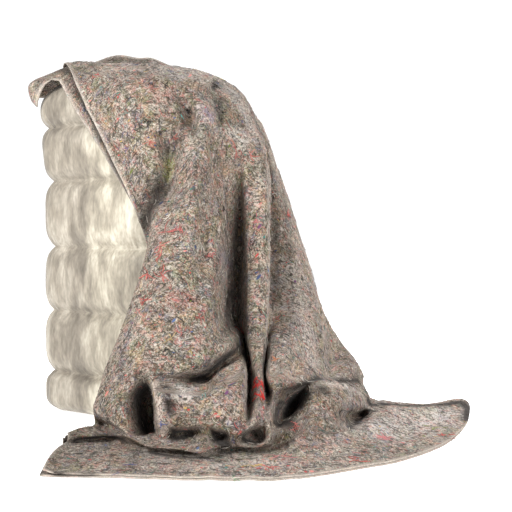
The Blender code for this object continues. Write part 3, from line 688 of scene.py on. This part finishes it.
def between(grid, x, y):
    """A grid of knots read smoothly at places between them."""
    i = np.clip(x.astype(int), 0, grid.shape[0] - 2)
    j = np.clip(y.astype(int), 0, grid.shape[1] - 2)
    s = smooth(x - i)
    t = smooth(y - j)
    low = grid[i, j] * (1 - s) + grid[i + 1, j] * s
    high = grid[i, j + 1] * (1 - s) + grid[i + 1, j + 1] * s
    return low * (1 - t) + high * t


def lattice(u, v, across, along, seed):
    """Smooth random field, about -1 to 1, with the given number of swells each way."""
    knots = np.random.default_rng(seed).uniform(-1, 1, (across + 2, along + 2))
    return between(knots, u * across, v * along)


def thinned(count):
    """Every few of so many places, and the last."""
    return np.unique(np.append(np.arange(0, count, FIT_STEP), count - 1))


def squeeze(face, normal):
    """Share of the full stack that fits behind each point before the cloth meets itself."""
    pick = np.ix_(thinned(face.shape[0]), thinned(face.shape[1]))
    rough = face[pick]
    facing = normal[pick].reshape(-1, 3)
    points = rough.reshape(-1, 3)
    others = np.concatenate([
        points,
        ((rough[1:] + rough[:-1]) / 2).reshape(-1, 3),
        ((rough[:, 1:] + rough[:, :-1]) / 2).reshape(-1, 3),
        ((rough[1:, 1:] + rough[:-1, :-1]) / 2).reshape(-1, 3),
    ])
    free = []
    for start in range(0, len(points), FIT_BLOCK):
        here = points[start : start + FIT_BLOCK]
        gap = here[:, None] - others[None]
        depth = np.einsum("ijk,ik->ij", gap, facing[start : start + FIT_BLOCK])
        size = np.einsum("ijk,ijk->ij", gap, gap)
        ball = np.where(depth > 1e-5, size / np.maximum(2 * depth, 1e-9), 1.0)
        free.append(ball.min(axis=1))
    free = np.concatenate(free).reshape(rough.shape[:2])
    fit = np.clip(FOLD_FILL * free / STACK, LEAST_STACK, 1.0)
    for _ in range(2):
        padded = np.pad(fit, 1, mode="edge")
        around = [
            padded[1 + i : padded.shape[0] - 1 + i, 1 + j : padded.shape[1] - 1 + j]
            for i in (-1, 0, 1)
            for j in (-1, 0, 1)
        ]
        fit = np.minimum(fit, np.mean(around, axis=0))
    rows = np.linspace(0, fit.shape[0] - 1, face.shape[0])
    columns = np.linspace(0, fit.shape[1] - 1, face.shape[1])
    return between(fit, rows[:, None], columns[None])


def sunk(face, normal, fit, depth):
    """The face moved inwards by depth, less inside tight folds, and kept off the floor."""
    moved = face - normal * (depth * fit)[:, :, None]
    moved[:, :, 2] = np.maximum(moved[:, :, 2], FLOOR_TOP - depth)
    return moved


def column_places():
    """Where the mesh's columns lie across the cloth: close at its cut edge and at its fold."""
    fine = FINE_STEP * np.arange(FINE_COLUMNS)
    start = fine[-1] + FINE_STEP
    wide = np.linspace(start, 1 - fine[-1] - FINE_STEP, COLUMNS + 1 - 2 * FINE_COLUMNS)
    return np.concatenate([fine, wide, 1 - fine[::-1]])


def line_numbers():
    """Where each mesh row lies, counted in fold lines."""
    line = []
    for k, rows in enumerate(ROWS):
        line += list(k + np.arange(rows) / rows)
    return np.array([*line, len(ROWS)])


def places(top):
    """Where the columns cross each fold line, as shares of the width, and each point's share."""
    columns = column_places()
    shares = []
    for set_back in SET_BACKS:
        moved = set_back + columns * (1 - set_back / WRAP)
        shares.append(np.where(columns < WRAP, moved, columns) if top else columns)
    shares = np.array(shares)
    line = line_numbers()
    below = np.minimum(line.astype(int), len(ROWS) - 1)
    part = (line - below)[:, None]
    u = shares[below] * (1 - part) + shares[below + 1] * part
    return shares, u.T


def beside(points, way):
    """How far each point is from a way of straight legs, and how far along it, as a share."""
    nearest = np.full(points.shape[:2], np.inf)
    place = np.zeros(points.shape[:2])
    done = 0.0
    for start, end in zip(way, way[1:]):
        step = np.subtract(end, start)
        run = np.linalg.norm(step)
        share = np.clip((points - start) @ step / run**2, 0, 1)
        away = np.linalg.norm(points - start - share[:, :, None] * step, axis=2)
        place = np.where(away < nearest, done + share * run, place)
        nearest = np.minimum(nearest, away)
        done += run
    return nearest, place / done


def seen(tree, spots):
    """Where the camera's lines through these places of the picture meet a surface."""
    tilt = Vector((math.cos(CAMERA_DIP), math.sin(CAMERA_DIP)))
    found = []
    for across, down in spots:
        x = (across - FRAME_PIXELS / 2) / FOCAL_PIXELS
        y = (FRAME_PIXELS / 2 - down) / FOCAL_PIXELS
        ray = Vector((x, tilt.x + y * tilt.y, y * tilt.x - tilt.y))
        hit = tree.ray_cast(Vector(CAMERA_PLACE), ray.normalized())[0]
        if hit is not None:  # a place just off the edge is left out
            found.append(hit)
    return np.array(found)


def grid_tree(grid):
    """Search tree over a grid of points."""
    number = np.arange(grid.shape[0] * grid.shape[1]).reshape(grid.shape[:2])
    corners = (number[:-1, :-1], number[1:, :-1], number[1:, 1:], number[:-1, 1:])
    quads = np.stack(corners, axis=2).reshape(-1, 4)
    return BVHTree.FromPolygons(grid.reshape(-1, 3).tolist(), quads.tolist())


def raised(face, u, ways):
    """The face with its small swells and creases, kept off the floor."""
    v = line_numbers() / len(ROWS)
    height = np.zeros(u.shape)
    for rise, across, along, seed in SWELLS:
        height += rise / 1000 * lattice(u, v, across, along, seed)
    for (half_width, rise, _), way in zip(CREASES, ways):
        nearest, share = beside(face, way)
        taper = smooth(np.clip(5 * np.minimum(share, 1 - share), 0, 1))  # dies away at both ends
        height += rise / 1000 * taper * bell(nearest, half_width / 1000)
    face = face + outward(face) * height[:, :, None]
    face[:, :, 2] = np.maximum(face[:, :, 2], FLOOR_TOP)
    return face


def section(top, low_in, low_out, top_in, bend=None, inner=None):
    """Each row's closed section in order: over the top, round the fold, back, between the layers.

    The fold's own value stands in where none is given for the bend and for the inner line.
    """
    bend = [top[-1]] * BEND_POINTS if bend is None else bend
    inner = top[-1] if inner is None else inner
    return np.array([*top, *bend, *low_in[::-1], *low_out, inner, *top_in[::-1]])


def tube(first, rings, count):
    """Quads round a tube, from each ring of points to the next."""
    quads = []
    for a in range(first, first + (rings - 1) * count, count):
        for k in range(count):
            k2 = (k + 1) % count
            quads.append((a + k, a + k2, a + count + k2, a + count + k))
    return quads


def end_caps(last):
    """Faces that close the cloth's section at the rear hem and at the front hem."""
    n = COLUMNS + 1
    low_in_at = n + BEND_POINTS
    low_out_at = low_in_at + n
    inner_at = low_out_at + n
    top_in_at = inner_at + 1
    caps = []
    for k in range(n - 1):
        back = n - 1 - k
        caps.append((k, k + 1, top_in_at + back - 1, top_in_at + back))
        caps.append((low_in_at + k, low_in_at + k + 1, low_out_at + back - 1, low_out_at + back))
    caps.append((n - 1, n, inner_at, top_in_at))
    for k in range(n, low_in_at - 1):
        caps.append((k, k + 1, inner_at))
    caps.append((low_in_at - 1, low_in_at, inner_at - 1, inner_at))
    faces = []
    for cap in caps:
        faces.append(cap)
        faces.append(tuple(last + k for k in reversed(cap)))
    return faces


def round_fold(top, low, lift, low_in):
    """Points round the outside of the fold, and the line inside it where the layers meet."""
    side = unit(low[-1] - low[-2])
    side -= lift * np.sum(side * lift, axis=1)[:, None]
    side = unit(side)
    centre = (top[-1] + low_in[-1]) / 2
    reach = np.linalg.norm(top[-1] - low_in[-1], axis=1)[:, None] / 2
    bend = []
    for k in range(1, BEND_POINTS + 1):
        a = k * math.pi / (BEND_POINTS + 1)
        bend.append(centre + reach * (math.cos(a) * lift + math.sin(a) * side))
    return bend, centre + reach * (PLY_GAP / STACK) * side


def blanket_mesh():
    """The cloth's points, faces, search tree, flat places, and what is painted on its points."""
    across_low, u_low = places(False)
    across_top, u_top = places(True)
    low = cloth_face(across_low)
    top = cloth_face(across_top)
    main_folds = grid_tree(top)
    ways = [seen(main_folds, spots) for _, _, spots in CREASES]
    low = raised(low, u_low, ways)
    top = raised(top, u_top, ways)
    low_n = outward(low)
    top_n = outward(top)
    low_fit = squeeze(low, low_n)
    top_fit = squeeze(top, top_n)
    columns = column_places()[:, None]
    parted = EDGE_PART * np.clip(1 - columns / WRAP, 0, 1)
    parted = parted + EDGE_LIFT * bell(columns * CLOTH_ACROSS, EDGE_CURL)
    top = top + top_n * parted[:, :, None]
    top_in = sunk(top, top_n, top_fit, PLY)
    low_out = sunk(low, low_n, low_fit, PLY + PLY_GAP)
    low_in = sunk(low, low_n, low_fit, STACK)
    bend, inner = round_fold(top, low, low_n[-1], low_in)
    ring = section(top, low_in, low_out, top_in, bend, inner)
    # Flat place of each point on the unfolded cloth, in metres.
    steps = np.linalg.norm(np.diff(top, axis=1), axis=2).mean(axis=0)
    run = np.broadcast_to(np.concatenate([[0], np.cumsum(steps)]), u_top.shape)
    flat_top = np.stack([u_top * CLOTH_ACROSS, run], axis=2)
    flat_low = np.stack([(2 - u_low) * CLOTH_ACROSS, run], axis=2)
    flat = section(flat_top, flat_low, flat_low, flat_top)
    # Painted highlight on the fibre rims along the cut edges and hems.
    rims = bell(columns * CLOTH_ACROSS, RIM)
    rims = np.maximum(rims, bell(np.minimum(run, run[:, -1:] - run), RIM))
    rim_highlight = section(rims, rims, rims, rims)
    count, rows = ring.shape[:2]
    points = ring.transpose(1, 0, 2).reshape(-1, 3)
    faces = [(a, d, c, b) for a, b, c, d in tube(0, rows, count)]
    faces += end_caps((rows - 1) * count)
    tree = BVHTree.FromPolygons(points.tolist(), faces)
    # Painted shade under the upper layer's cut edge, where it lies back on the lower one, and in deep folds.
    apart = (u_top[0] - u_low) * CLOTH_ACROSS - NOOK_OUT
    dark = NOOK_SHADE * bell(apart, NOOK) * (u_top[0] > NOOK_LEAST)
    none = np.zeros_like(dark)
    shade = section(none, none, dark, none)
    for half_width, strength, spots in SHADES:
        share = strength * bell(beside(ring, seen(tree, spots))[0], half_width / 1000)
        shade = np.maximum(shade, np.minimum(share, DARKEST))
    stain_and_painted_light = np.zeros((*shade.shape, 4))
    for half_width, strength, colour, spots in STAINS_AND_PAINTED_LIGHT:
        share = strength * bell(beside(ring, seen(tree, spots))[0], half_width / 1000)
        share = np.minimum(share, 1)
        patch = np.dstack([*(c + 0 * share for c in colour), share])
        stain_and_painted_light = np.where((share > stain_and_painted_light[:, :, 3])[:, :, None], patch, stain_and_painted_light)
    paints = {
        "rim_highlight": rim_highlight.T.ravel(),
        "shade": shade.T.ravel(),
        "stain_and_painted_light": stain_and_painted_light.transpose(1, 0, 2).reshape(-1, 4),
    }
    return points, faces, tree, flat.transpose(1, 0, 2).reshape(-1, 2), paints


def put(name, data):
    """An object in the scene that shows this mesh, lamp or camera."""
    made = bpy.data.objects.new(name, data)
    bpy.context.scene.collection.objects.link(made)
    return made


def piece(name, points, faces, material):
    """A smooth-shaded mesh object made of points and faces."""
    mesh = bpy.data.meshes.new(name)
    mesh.from_pydata([tuple(map(float, p)) for p in points], [], faces)
    mesh.validate()
    mesh.materials.append(material)
    mesh.shade_smooth()
    return put(name, mesh)


def lay_flat(made, flat):
    """Store each point's flat place as the mesh's UV map."""
    layer = made.data.uv_layers.new(name="flat")
    index = np.empty(len(made.data.loops), dtype=np.int32)
    made.data.loops.foreach_get("vertex_index", index)
    layer.data.foreach_set("uv", np.asarray(flat, np.float32)[index].ravel())


def paint(made, paints):
    """Store shares or colours on the mesh's points, each under its name."""
    for name, values in paints.items():
        kind, field = ("FLOAT", "value") if values.ndim == 1 else ("FLOAT_COLOR", "color")
        layer = made.data.attributes.new(name, kind, "POINT")
        layer.data.foreach_set(field, values.astype(np.float32).ravel())


def strand(tree, rng, start, length, thick):
    """Rings of a three-sided fibre that wanders over the cloth, with its ends a little raised."""
    spot, normal, _, _ = tree.find_nearest(Vector(start))
    heading = normal.cross(Vector(rng.normal(size=3))).normalized()
    bend = rng.normal(0, FIBRE_BEND)
    rings = []
    for step in range(FIBRE_STEPS + 1):
        end = abs(2 * step / FIBRE_STEPS - 1)
        aside = normal.cross(heading).normalized()
        centre = spot + normal * (FIBRE_LIFT + thick + FIBRE_END * end**3 * rng.uniform())
        radius = thick * (1 - FIBRE_TAPER * end**2)
        for a in FIBRE_CORNERS:
            rings.append(centre + radius * (math.cos(a) * aside + math.sin(a) * normal))
        heading = (heading + aside * (bend + rng.normal(0, FIBRE_WOBBLE))).normalized()
        spot, normal, _, _ = tree.find_nearest(spot + heading * (length / FIBRE_STEPS))
        heading = (heading - normal * heading.dot(normal)).normalized()
    return rings


def faded(colour):
    """A tuft's colour as it shows: mixed with grey, but for the vivid red and the blacks."""
    if colour == VIVID_RED or max(colour) < TUFT_BLACK:
        return colour
    return [(1 - TUFT_FADE) * c + TUFT_FADE * grey for c, grey in zip(colour, TUFT_GREY)]


def fibre_plans(points, faces, tree, top_faces, rng):
    """Start, length, thickness and colour of each fibre: the listed tufts, then the others."""
    plans = []
    for spot, spread, count, length, colour in TUFT_PLACES:
        middle = seen(tree, [spot])[0]
        for _ in range(count):
            start = middle + rng.normal(0, TUFT_STRAY * spread / 1000, 3)
            plans.append((start, length / 1000 * rng.uniform(*TUFT_LENGTHS), TUFT_THICK, faded(colour)))
    a, b, c = points[np.array([faces[f][:3] for f in top_faces])].transpose(1, 0, 2)
    areas = np.linalg.norm(np.cross(b - a, c - a), axis=1)
    for pick in rng.choice(top_faces, LOOSE_FIBRES, p=areas / areas.sum()):
        start = np.mean([points[k] for k in faces[pick]], axis=0) + rng.normal(0, FIBRE_STRAY, 3)
        colour = FIBRE_COLOURS[min(int(rng.exponential(FIBRE_SKEW)), len(FIBRE_COLOURS) - 1)]
        plans.append((start, rng.uniform(*FIBRE_LENGTHS), FIBRE_THICK, colour))
    return plans


def fibre_mesh(points, faces, tree, top_faces):
    """Points, faces and colours of all the loose fibres on the cloth."""
    rng = np.random.default_rng(FIBRE_SEED)
    made, sides, tints = [], [], []
    corners = len(FIBRE_CORNERS)
    for start, length, thick, colour in fibre_plans(points, faces, tree, top_faces, rng):
        base = len(made)
        made += strand(tree, rng, start, length, thick)
        tints += [(*(np.array(colour) * rng.uniform(*TINT_RANGE)), 1)] * (len(made) - base)
        sides += tube(base, FIBRE_STEPS + 1, corners)
        sides.append(tuple(reversed(range(base, base + corners))))
        sides.append(tuple(range(len(made) - corners, len(made))))
    return made, sides, np.array(tints)


# ---- materials ----
def add(tree, kind, values=(), **links):
    """A shader node with its settings; a value is a number, a colour or a socket to link."""
    made = tree.nodes.new(kind)
    for key, value in dict(values).items():
        setattr(made, key, value)
    for key, value in links.items():
        names = [s.name.replace(" ", "_") for s in made.inputs]
        numbered = key[0] == "i" and key[1:].isdigit()
        socket = made.inputs[int(key[1:]) if numbered else names.index(key)]
        if isinstance(value, bpy.types.NodeSocket):
            tree.links.new(value, socket)
        else:
            socket.default_value = value
    return made


def ramp(tree, source, stops, kind="LINEAR"):
    """Colour ramp over a socket, from (place, colour) stops."""
    made = tree.nodes.new("ShaderNodeValToRGB")
    made.color_ramp.interpolation = kind
    for _ in range(len(stops) - 2):
        made.color_ramp.elements.new(0.5)
    for element, (place, colour) in zip(made.color_ramp.elements, stops):
        element.position = place
        element.color = (*colour, 1)
    tree.links.new(source, made.inputs["Fac"])
    return made.outputs["Color"]


def reckon(tree, how, *values):
    """A sum on numbers or sockets, such as MULTIPLY or ADD."""
    links = {f"i{k}": value for k, value in enumerate(values)}
    return add(tree, "ShaderNodeMath", {"operation": how}, **links).outputs[0]


def times(tree, a, b):
    """The product of two numbers or sockets."""
    return reckon(tree, "MULTIPLY", a, b)


def plus(tree, a, b):
    """The sum of two numbers or sockets."""
    return reckon(tree, "ADD", a, b)


def step_up(tree, source, low, high):
    """0 below low, 1 above high, smooth between."""
    soft = {"interpolation_type": "SMOOTHSTEP"}
    return add(tree, "ShaderNodeMapRange", soft, i0=source, i1=low, i2=high).outputs[0]


def blend_in(tree, share, base, top, how="MIX"):
    """One colour over another, as far as share says."""
    made = tree.nodes.new("ShaderNodeMix")
    made.data_type = "RGBA"
    made.blend_type = how
    for key, value in (("Factor_Float", share), ("A_Color", base), ("B_Color", top)):
        socket = next(s for s in made.inputs if s.identifier == key)
        if isinstance(value, bpy.types.NodeSocket):
            tree.links.new(value, socket)
        else:
            socket.default_value = value if key == "Factor_Float" else (*value, 1)
    return next(s for s in made.outputs if s.identifier == "Result_Color")


def noise(tree, place, scale, detail, roughness=0.5, distortion=0.0):
    """Smooth noise at a place."""
    made = add(
        tree, "ShaderNodeTexNoise",
        Vector=place, Scale=scale, Detail=detail, Roughness=roughness, Distortion=distortion,
    )
    return made.outputs["Fac"]


def stretched(tree, place, lean, tip, along):
    """The place drawn out along a way that leans from upright and tips forward."""
    made = add(
        tree, "ShaderNodeMapping", {"vector_type": "TEXTURE"},
        Vector=place, Rotation=(tip, lean, 0), Scale=(1, 1, along),
    )
    return made.outputs["Vector"]


def painted(tree, name):
    """What the mesh holds under a name: its node."""
    return add(tree, "ShaderNodeAttribute", {"attribute_name": name})


def blots(tree, colour, place, rows, detail, roughness):
    """Soft spots of other colours over a colour, one kind for each row of a table."""
    for scale, seed, low, high, tint, share in rows:
        shift = {"operation": "ADD"}
        moved = add(tree, "ShaderNodeVectorMath", shift, i0=place, i1=(seed, -seed, seed)).outputs[0]
        spots = step_up(tree, noise(tree, moved, scale, detail, roughness), low, high)
        colour = blend_in(tree, times(tree, spots, share), colour, tint)
    return colour


def new_material(name, surface):
    """A material with these settings of its surface, its nodes and its surface shader."""
    made = bpy.data.materials.new(name)
    made.use_nodes = True
    shader = made.node_tree.nodes["Principled BSDF"]
    for key, value in surface.items():
        shader.inputs[key].default_value = value
    return made, made.node_tree, shader


def finish(tree, shader, colour, height, strength):
    """Give the surface its colour and its bump."""
    tree.links.new(colour, shader.inputs["Base Color"])
    bump = add(tree, "ShaderNodeBump", Height=height, Strength=strength, Distance=BUMP_DEPTH)
    tree.links.new(bump.outputs["Normal"], shader.inputs["Normal"])


def felt_material():
    """Recycled felt: mottled grey-brown fibre with flecks of many colours and stitched ribs; painted
    highlights and painted shade.
    """
    made, tree, shader = new_material("recycled_felt", FELT_SURFACE)
    where = tree.nodes.new("ShaderNodeTexCoord").outputs
    facing = add(tree, "ShaderNodeSeparateXYZ", Vector=where["Normal"]).outputs["Z"]
    level = step_up(tree, reckon(tree, "ABSOLUTE", facing), LEVEL_FROM, LEVEL_TO)
    drawn = add(
        tree, "ShaderNodeMapping",
        Vector=where["Object"], Location=(0, FELT_MIDDLE * (1 - FELT_DEEP), 0), Scale=(1, FELT_DEEP, 1),
    ).outputs["Vector"]
    place = blend_in(tree, level, where["Object"], drawn)
    wander = add(tree, "ShaderNodeTexNoise", Vector=place, Scale=WANDER_SCALE, Detail=1.0)
    shift = add(
        tree, "ShaderNodeVectorMath", {"operation": "MULTIPLY_ADD"},
        i0=wander.outputs["Color"], i1=(WANDER, WANDER, WANDER), i2=place,
    ).outputs[0]
    grain = noise(tree, shift, *GRAIN_NOISE)
    colour = blots(tree, ramp(tree, grain, FELT_GRAIN), shift, STAINS, 4.0, 0.7)
    clump = noise(tree, shift, *CLUMP_NOISE)
    colour = blend_in(tree, CLUMP_SHARE, colour, ramp(tree, clump, FELT_CLUMP), "MULTIPLY")
    broad = noise(tree, place, *BROAD_NOISE)
    colour = blend_in(tree, BROAD_SHARE, colour, ramp(tree, broad, FELT_BROAD), "MULTIPLY")
    # Listed stains, painted highlights and painted shade, broken up by noise.
    stain_and_painted_light = painted(tree, "stain_and_painted_light").outputs
    broken = step_up(tree, noise(tree, shift, *BREAK_NOISE), BREAK_FROM, BREAK_TO)
    colour = blend_in(tree, times(tree, stain_and_painted_light["Alpha"], broken), colour, stain_and_painted_light["Color"])
    for lean, tip, along, scale, low, high, tint, share in STREAKS:
        hair = noise(tree, stretched(tree, shift, lean, tip, along), scale, 1.0)
        colour = blend_in(tree, times(tree, step_up(tree, hair, low, high), share), colour, tint)
    colour = blots(tree, colour, shift, CLOTS, 3.0, 0.6)
    for scale, chance, size, lean, tip, along in FLECKS:
        spot = add(
            tree, "ShaderNodeTexVoronoi",
            Vector=stretched(tree, shift, lean, tip, along), Scale=scale, Randomness=1.0,
        ).outputs
        parts = add(tree, "ShaderNodeSeparateColor", Color=spot["Color"]).outputs
        chosen = step_up(tree, parts[0], 1 - chance, 1 - chance + FLECK_EDGE)
        near = step_up(tree, times(tree, spot["Distance"], -1.0), -size, -FLECK_CORE * size)
        tint = ramp(tree, parts[1], FLECK_TINTS, "CONSTANT")
        colour = blend_in(tree, times(tree, chosen, near), colour, tint)
    # Painted highlight where the fuzz on the cut edges catches the light.
    fuzz = times(tree, noise(tree, shift, *FUZZ_NOISE), FUZZ_SHARE)
    rim_highlight = painted(tree, "rim_highlight").outputs["Fac"]
    colour = blend_in(tree, times(tree, rim_highlight, fuzz), colour, RIM_HIGHLIGHT_COLOUR)
    colour = blend_in(tree, painted(tree, "shade").outputs["Fac"], colour, SHADE_COLOUR)
    uv = add(tree, "ShaderNodeUVMap", {"uv_map": "flat"})
    apart = add(tree, "ShaderNodeSeparateXYZ", Vector=uv.outputs["UV"])
    wave = reckon(tree, "SINE", times(tree, apart.outputs[0], 2 * math.pi / RIB_PITCH))
    height = plus(tree, times(tree, wave, RIB_HEIGHT), times(tree, grain, GRAIN_HEIGHT))
    height = plus(tree, height, times(tree, clump, CLUMP_HEIGHT))
    finish(tree, shader, colour, height, FELT_BUMP)
    return made


def fibre_material():
    """Matt fibre, coloured by the mesh."""
    made, tree, shader = new_material("loose_fibre", FIBRE_SURFACE)
    tree.links.new(painted(tree, "tint").outputs["Color"], shader.inputs["Base Color"])
    return made


def bale_material():
    """Plain pale cloth with soft creases, painted shade on its left flank and a painted reflection on its
    front.
    """
    made, tree, shader = new_material("bale_wrap", BALE_SURFACE)
    place = tree.nodes.new("ShaderNodeTexCoord").outputs["Object"]
    long = add(tree, "ShaderNodeMapping", Vector=place, Scale=(1, 1, BALE_DRAWN)).outputs["Vector"]
    streak = noise(tree, long, *STREAK_NOISE)
    colour = ramp(tree, streak, BALE_TONES)
    speck = noise(tree, long, *SPECK_NOISE)
    colour = blend_in(tree, SPECK_SHARE, colour, ramp(tree, speck, BALE_SPECKS), "MULTIPLY")
    # Painted light: the left flank darker and the front lighter, the border wandering with the creases.
    across = add(tree, "ShaderNodeSeparateXYZ", Vector=place).outputs["X"]
    across = plus(tree, across, times(tree, streak, SIDE_WANDER))
    front = step_up(tree, across, *(turn + SIDE_WANDER / 2 for turn in BALE_TURNS))
    colour = blend_in(tree, 1.0, colour, ramp(tree, front, BALE_PAINTED_SIDE_LIGHT), "MULTIPLY")
    height = plus(tree, times(tree, streak, STREAK_HEIGHT), times(tree, speck, SPECK_HEIGHT))
    finish(tree, shader, colour, height, BALE_BUMP)
    return made


# ---- bale ----
def bale_outline(inset, height):
    """A turned rectangle with round corners, drawn inset from the full plan at a height."""
    slid = min(max((height - GROOVES[-2]) / (GROOVES[-1] - GROOVES[-2]), 0), 1)
    mid_x = BALE_CENTRE[0] + BALE_LEAN * slid
    mid_y = BALE_CENTRE[1]
    half_long = BALE_LONG / 2 - inset
    half_short = BALE_SHORT / 2 - inset
    corner = min(max(BALE_CORNER - CORNER_LOSS * inset, LEAST_CORNER), half_short * MOST_CORNER)
    cos_t = math.cos(BALE_TURN)
    sin_t = math.sin(BALE_TURN)
    outline = []
    per = BALE_AROUND // 4
    for quarter, (sx, sy) in enumerate(((1, 1), (-1, 1), (-1, -1), (1, -1))):
        for i in range(per):
            a = math.pi / 2 * (quarter + i / (per - 1))
            x = sx * (half_long - corner) + corner * math.cos(a)
            y = sy * (half_short - corner) + corner * math.sin(a)
            outline.append((mid_x + x * cos_t - y * sin_t, mid_y + x * sin_t + y * cos_t))
    return outline


def bale_rings():
    """Height, inset and pinch of each ring, from the underside up."""
    rings = []
    for step in range(FOOT_RINGS + 1):
        a = step / FOOT_RINGS * math.pi / 2
        rings.append((BALE_FOOT * (1 - math.cos(a)), FOOT_IN * BALE_FOOT * (1 - math.sin(a)), 0))
    for low, high in zip(GROOVES, GROOVES[1:]):
        for step in range(1, BALE_PER_BULGE + 1):
            share = step / BALE_PER_BULGE
            height = low + (high - low) * share
            if height > BALE_FOOT:
                pinch = abs(2 * share - 1) ** 4
                rings.append((height, PINCH * pinch, pinch))
    for step in range(1, SHOULDER_RINGS + 1):
        share = step / SHOULDER_RINGS
        pinch = (1 - share) ** 3
        rings.append((GROOVES[-1] + (BALE_SHOULDER - GROOVES[-1]) * share, PINCH * pinch, pinch))
    rise = BALE_TOP - CROWN_RISE - BALE_SHOULDER
    for step in range(1, ROUND_RINGS + 1):
        a = step / ROUND_RINGS * math.pi / 2
        rings.append((BALE_SHOULDER + rise * math.sin(a), BALE_ROUND * (1 - math.cos(a)), 0))
    for step in range(1, CROWN_RINGS + 1):
        a = step / CROWN_RINGS * math.pi / 2
        inset = BALE_ROUND + CROWN_IN * step / CROWN_RINGS
        rings.append((BALE_TOP - CROWN_RISE * (1 - math.sin(a)), inset, 0))
    return rings


def bale_mesh():
    """The pinched bale, with soft upright creases that run into its grooves."""
    around = np.arange(BALE_AROUND) / BALE_AROUND
    rings = bale_rings()
    points = []
    for height, inset, pinch in rings:
        up = np.full(BALE_AROUND, height / BALE_TOP)
        dent = 0.0
        for depth, times_round, times_up, seed, even, more in BALE_CREASES:
            field = lattice(around, up, times_round, times_up, seed) - 1
            dent = dent + depth * field * (even + more * pinch)
        plan = np.array(bale_outline(inset, height)) - BALE_CENTRE
        radius = np.linalg.norm(plan, axis=1)
        plan = plan * (1 + dent / radius)[:, None] + BALE_CENTRE
        points += [(x, y, height) for x, y in plan]
    underside = tuple(reversed(range(BALE_AROUND)))
    crown = tuple(range(len(points) - BALE_AROUND, len(points)))
    return points, [underside, *tube(0, len(rings), BALE_AROUND), crown]


# ---- pieces ----
points, faces, tree, flat, paints = blanket_mesh()
blanket = piece("moving_blanket", points, faces, felt_material())
lay_flat(blanket, flat)
paint(blanket, paints)
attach(blanket, "root")
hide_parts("blanket")

# Faces of the upper layer's outer side, for the loose fibres.
around = len(points) // (sum(ROWS) + 1)
upper = [r * around + k for r in range(sum(ROWS)) for k in range(COLUMNS)]
fibre_points, fibre_faces, tints = fibre_mesh(points, faces, tree, upper)
fibres = piece("loose_fibres", fibre_points, fibre_faces, fibre_material())
paint(fibres, {"tint": tints})
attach(fibres, "root")

bale = piece("plain_bale", *bale_mesh(), bale_material())
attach(bale, "root")
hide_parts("bale")


# ---- floor, light and camera ----
def lay_floor():
    """A wide white floor that glows a little, so that it stays white."""
    mesh = bpy.data.meshes.new("floor")
    corners = [(x * FLOOR_REACH, y * FLOOR_REACH, 0) for x, y in ((-1, -1), (1, -1), (1, 1), (-1, 1))]
    mesh.from_pydata(corners, [], [(0, 1, 2, 3)])
    mesh.materials.append(new_material("floor_paint", FLOOR_SURFACE)[0])
    put("floor", mesh)


def light(name, place, aim, size, power):
    """A softbox that points at a place."""
    lamp = bpy.data.lights.new(name, "AREA")
    lamp.shape = "RECTANGLE"
    lamp.size, lamp.size_y = size
    lamp.energy = power
    made = put(name, lamp)
    made.location = place
    made.rotation_euler = (Vector(aim) - Vector(place)).to_track_quat("-Z", "Y").to_euler()


def studio_world():
    """White all round, dimmer as a light than as a background."""
    world = bpy.data.worlds.new("studio")
    world.use_nodes = True
    tree = world.node_tree
    backdrop = tree.nodes["Background"].inputs
    backdrop["Color"].default_value = (1, 1, 1, 1)
    direct = tree.nodes.new("ShaderNodeLightPath").outputs["Is Camera Ray"]
    strength = add(tree, "ShaderNodeMapRange", i0=direct, i3=WORLD_LIGHT, i4=WORLD_SEEN).outputs[0]
    tree.links.new(strength, backdrop["Strength"])
    bpy.context.scene.world = world


lay_floor()
for lamp in LAMPS:
    light(*lamp)
studio_world()
bpy.context.scene.view_settings.view_transform = "Standard"

lens = bpy.data.cameras.new("camera")
lens.sensor_width = SENSOR
lens.lens = SENSOR * FOCAL_PIXELS / FRAME_PIXELS
camera = put("camera", lens)
camera.location = CAMERA_PLACE
camera.rotation_euler = (math.pi / 2 - CAMERA_DIP, 0, 0)
bpy.context.scene.camera = camera
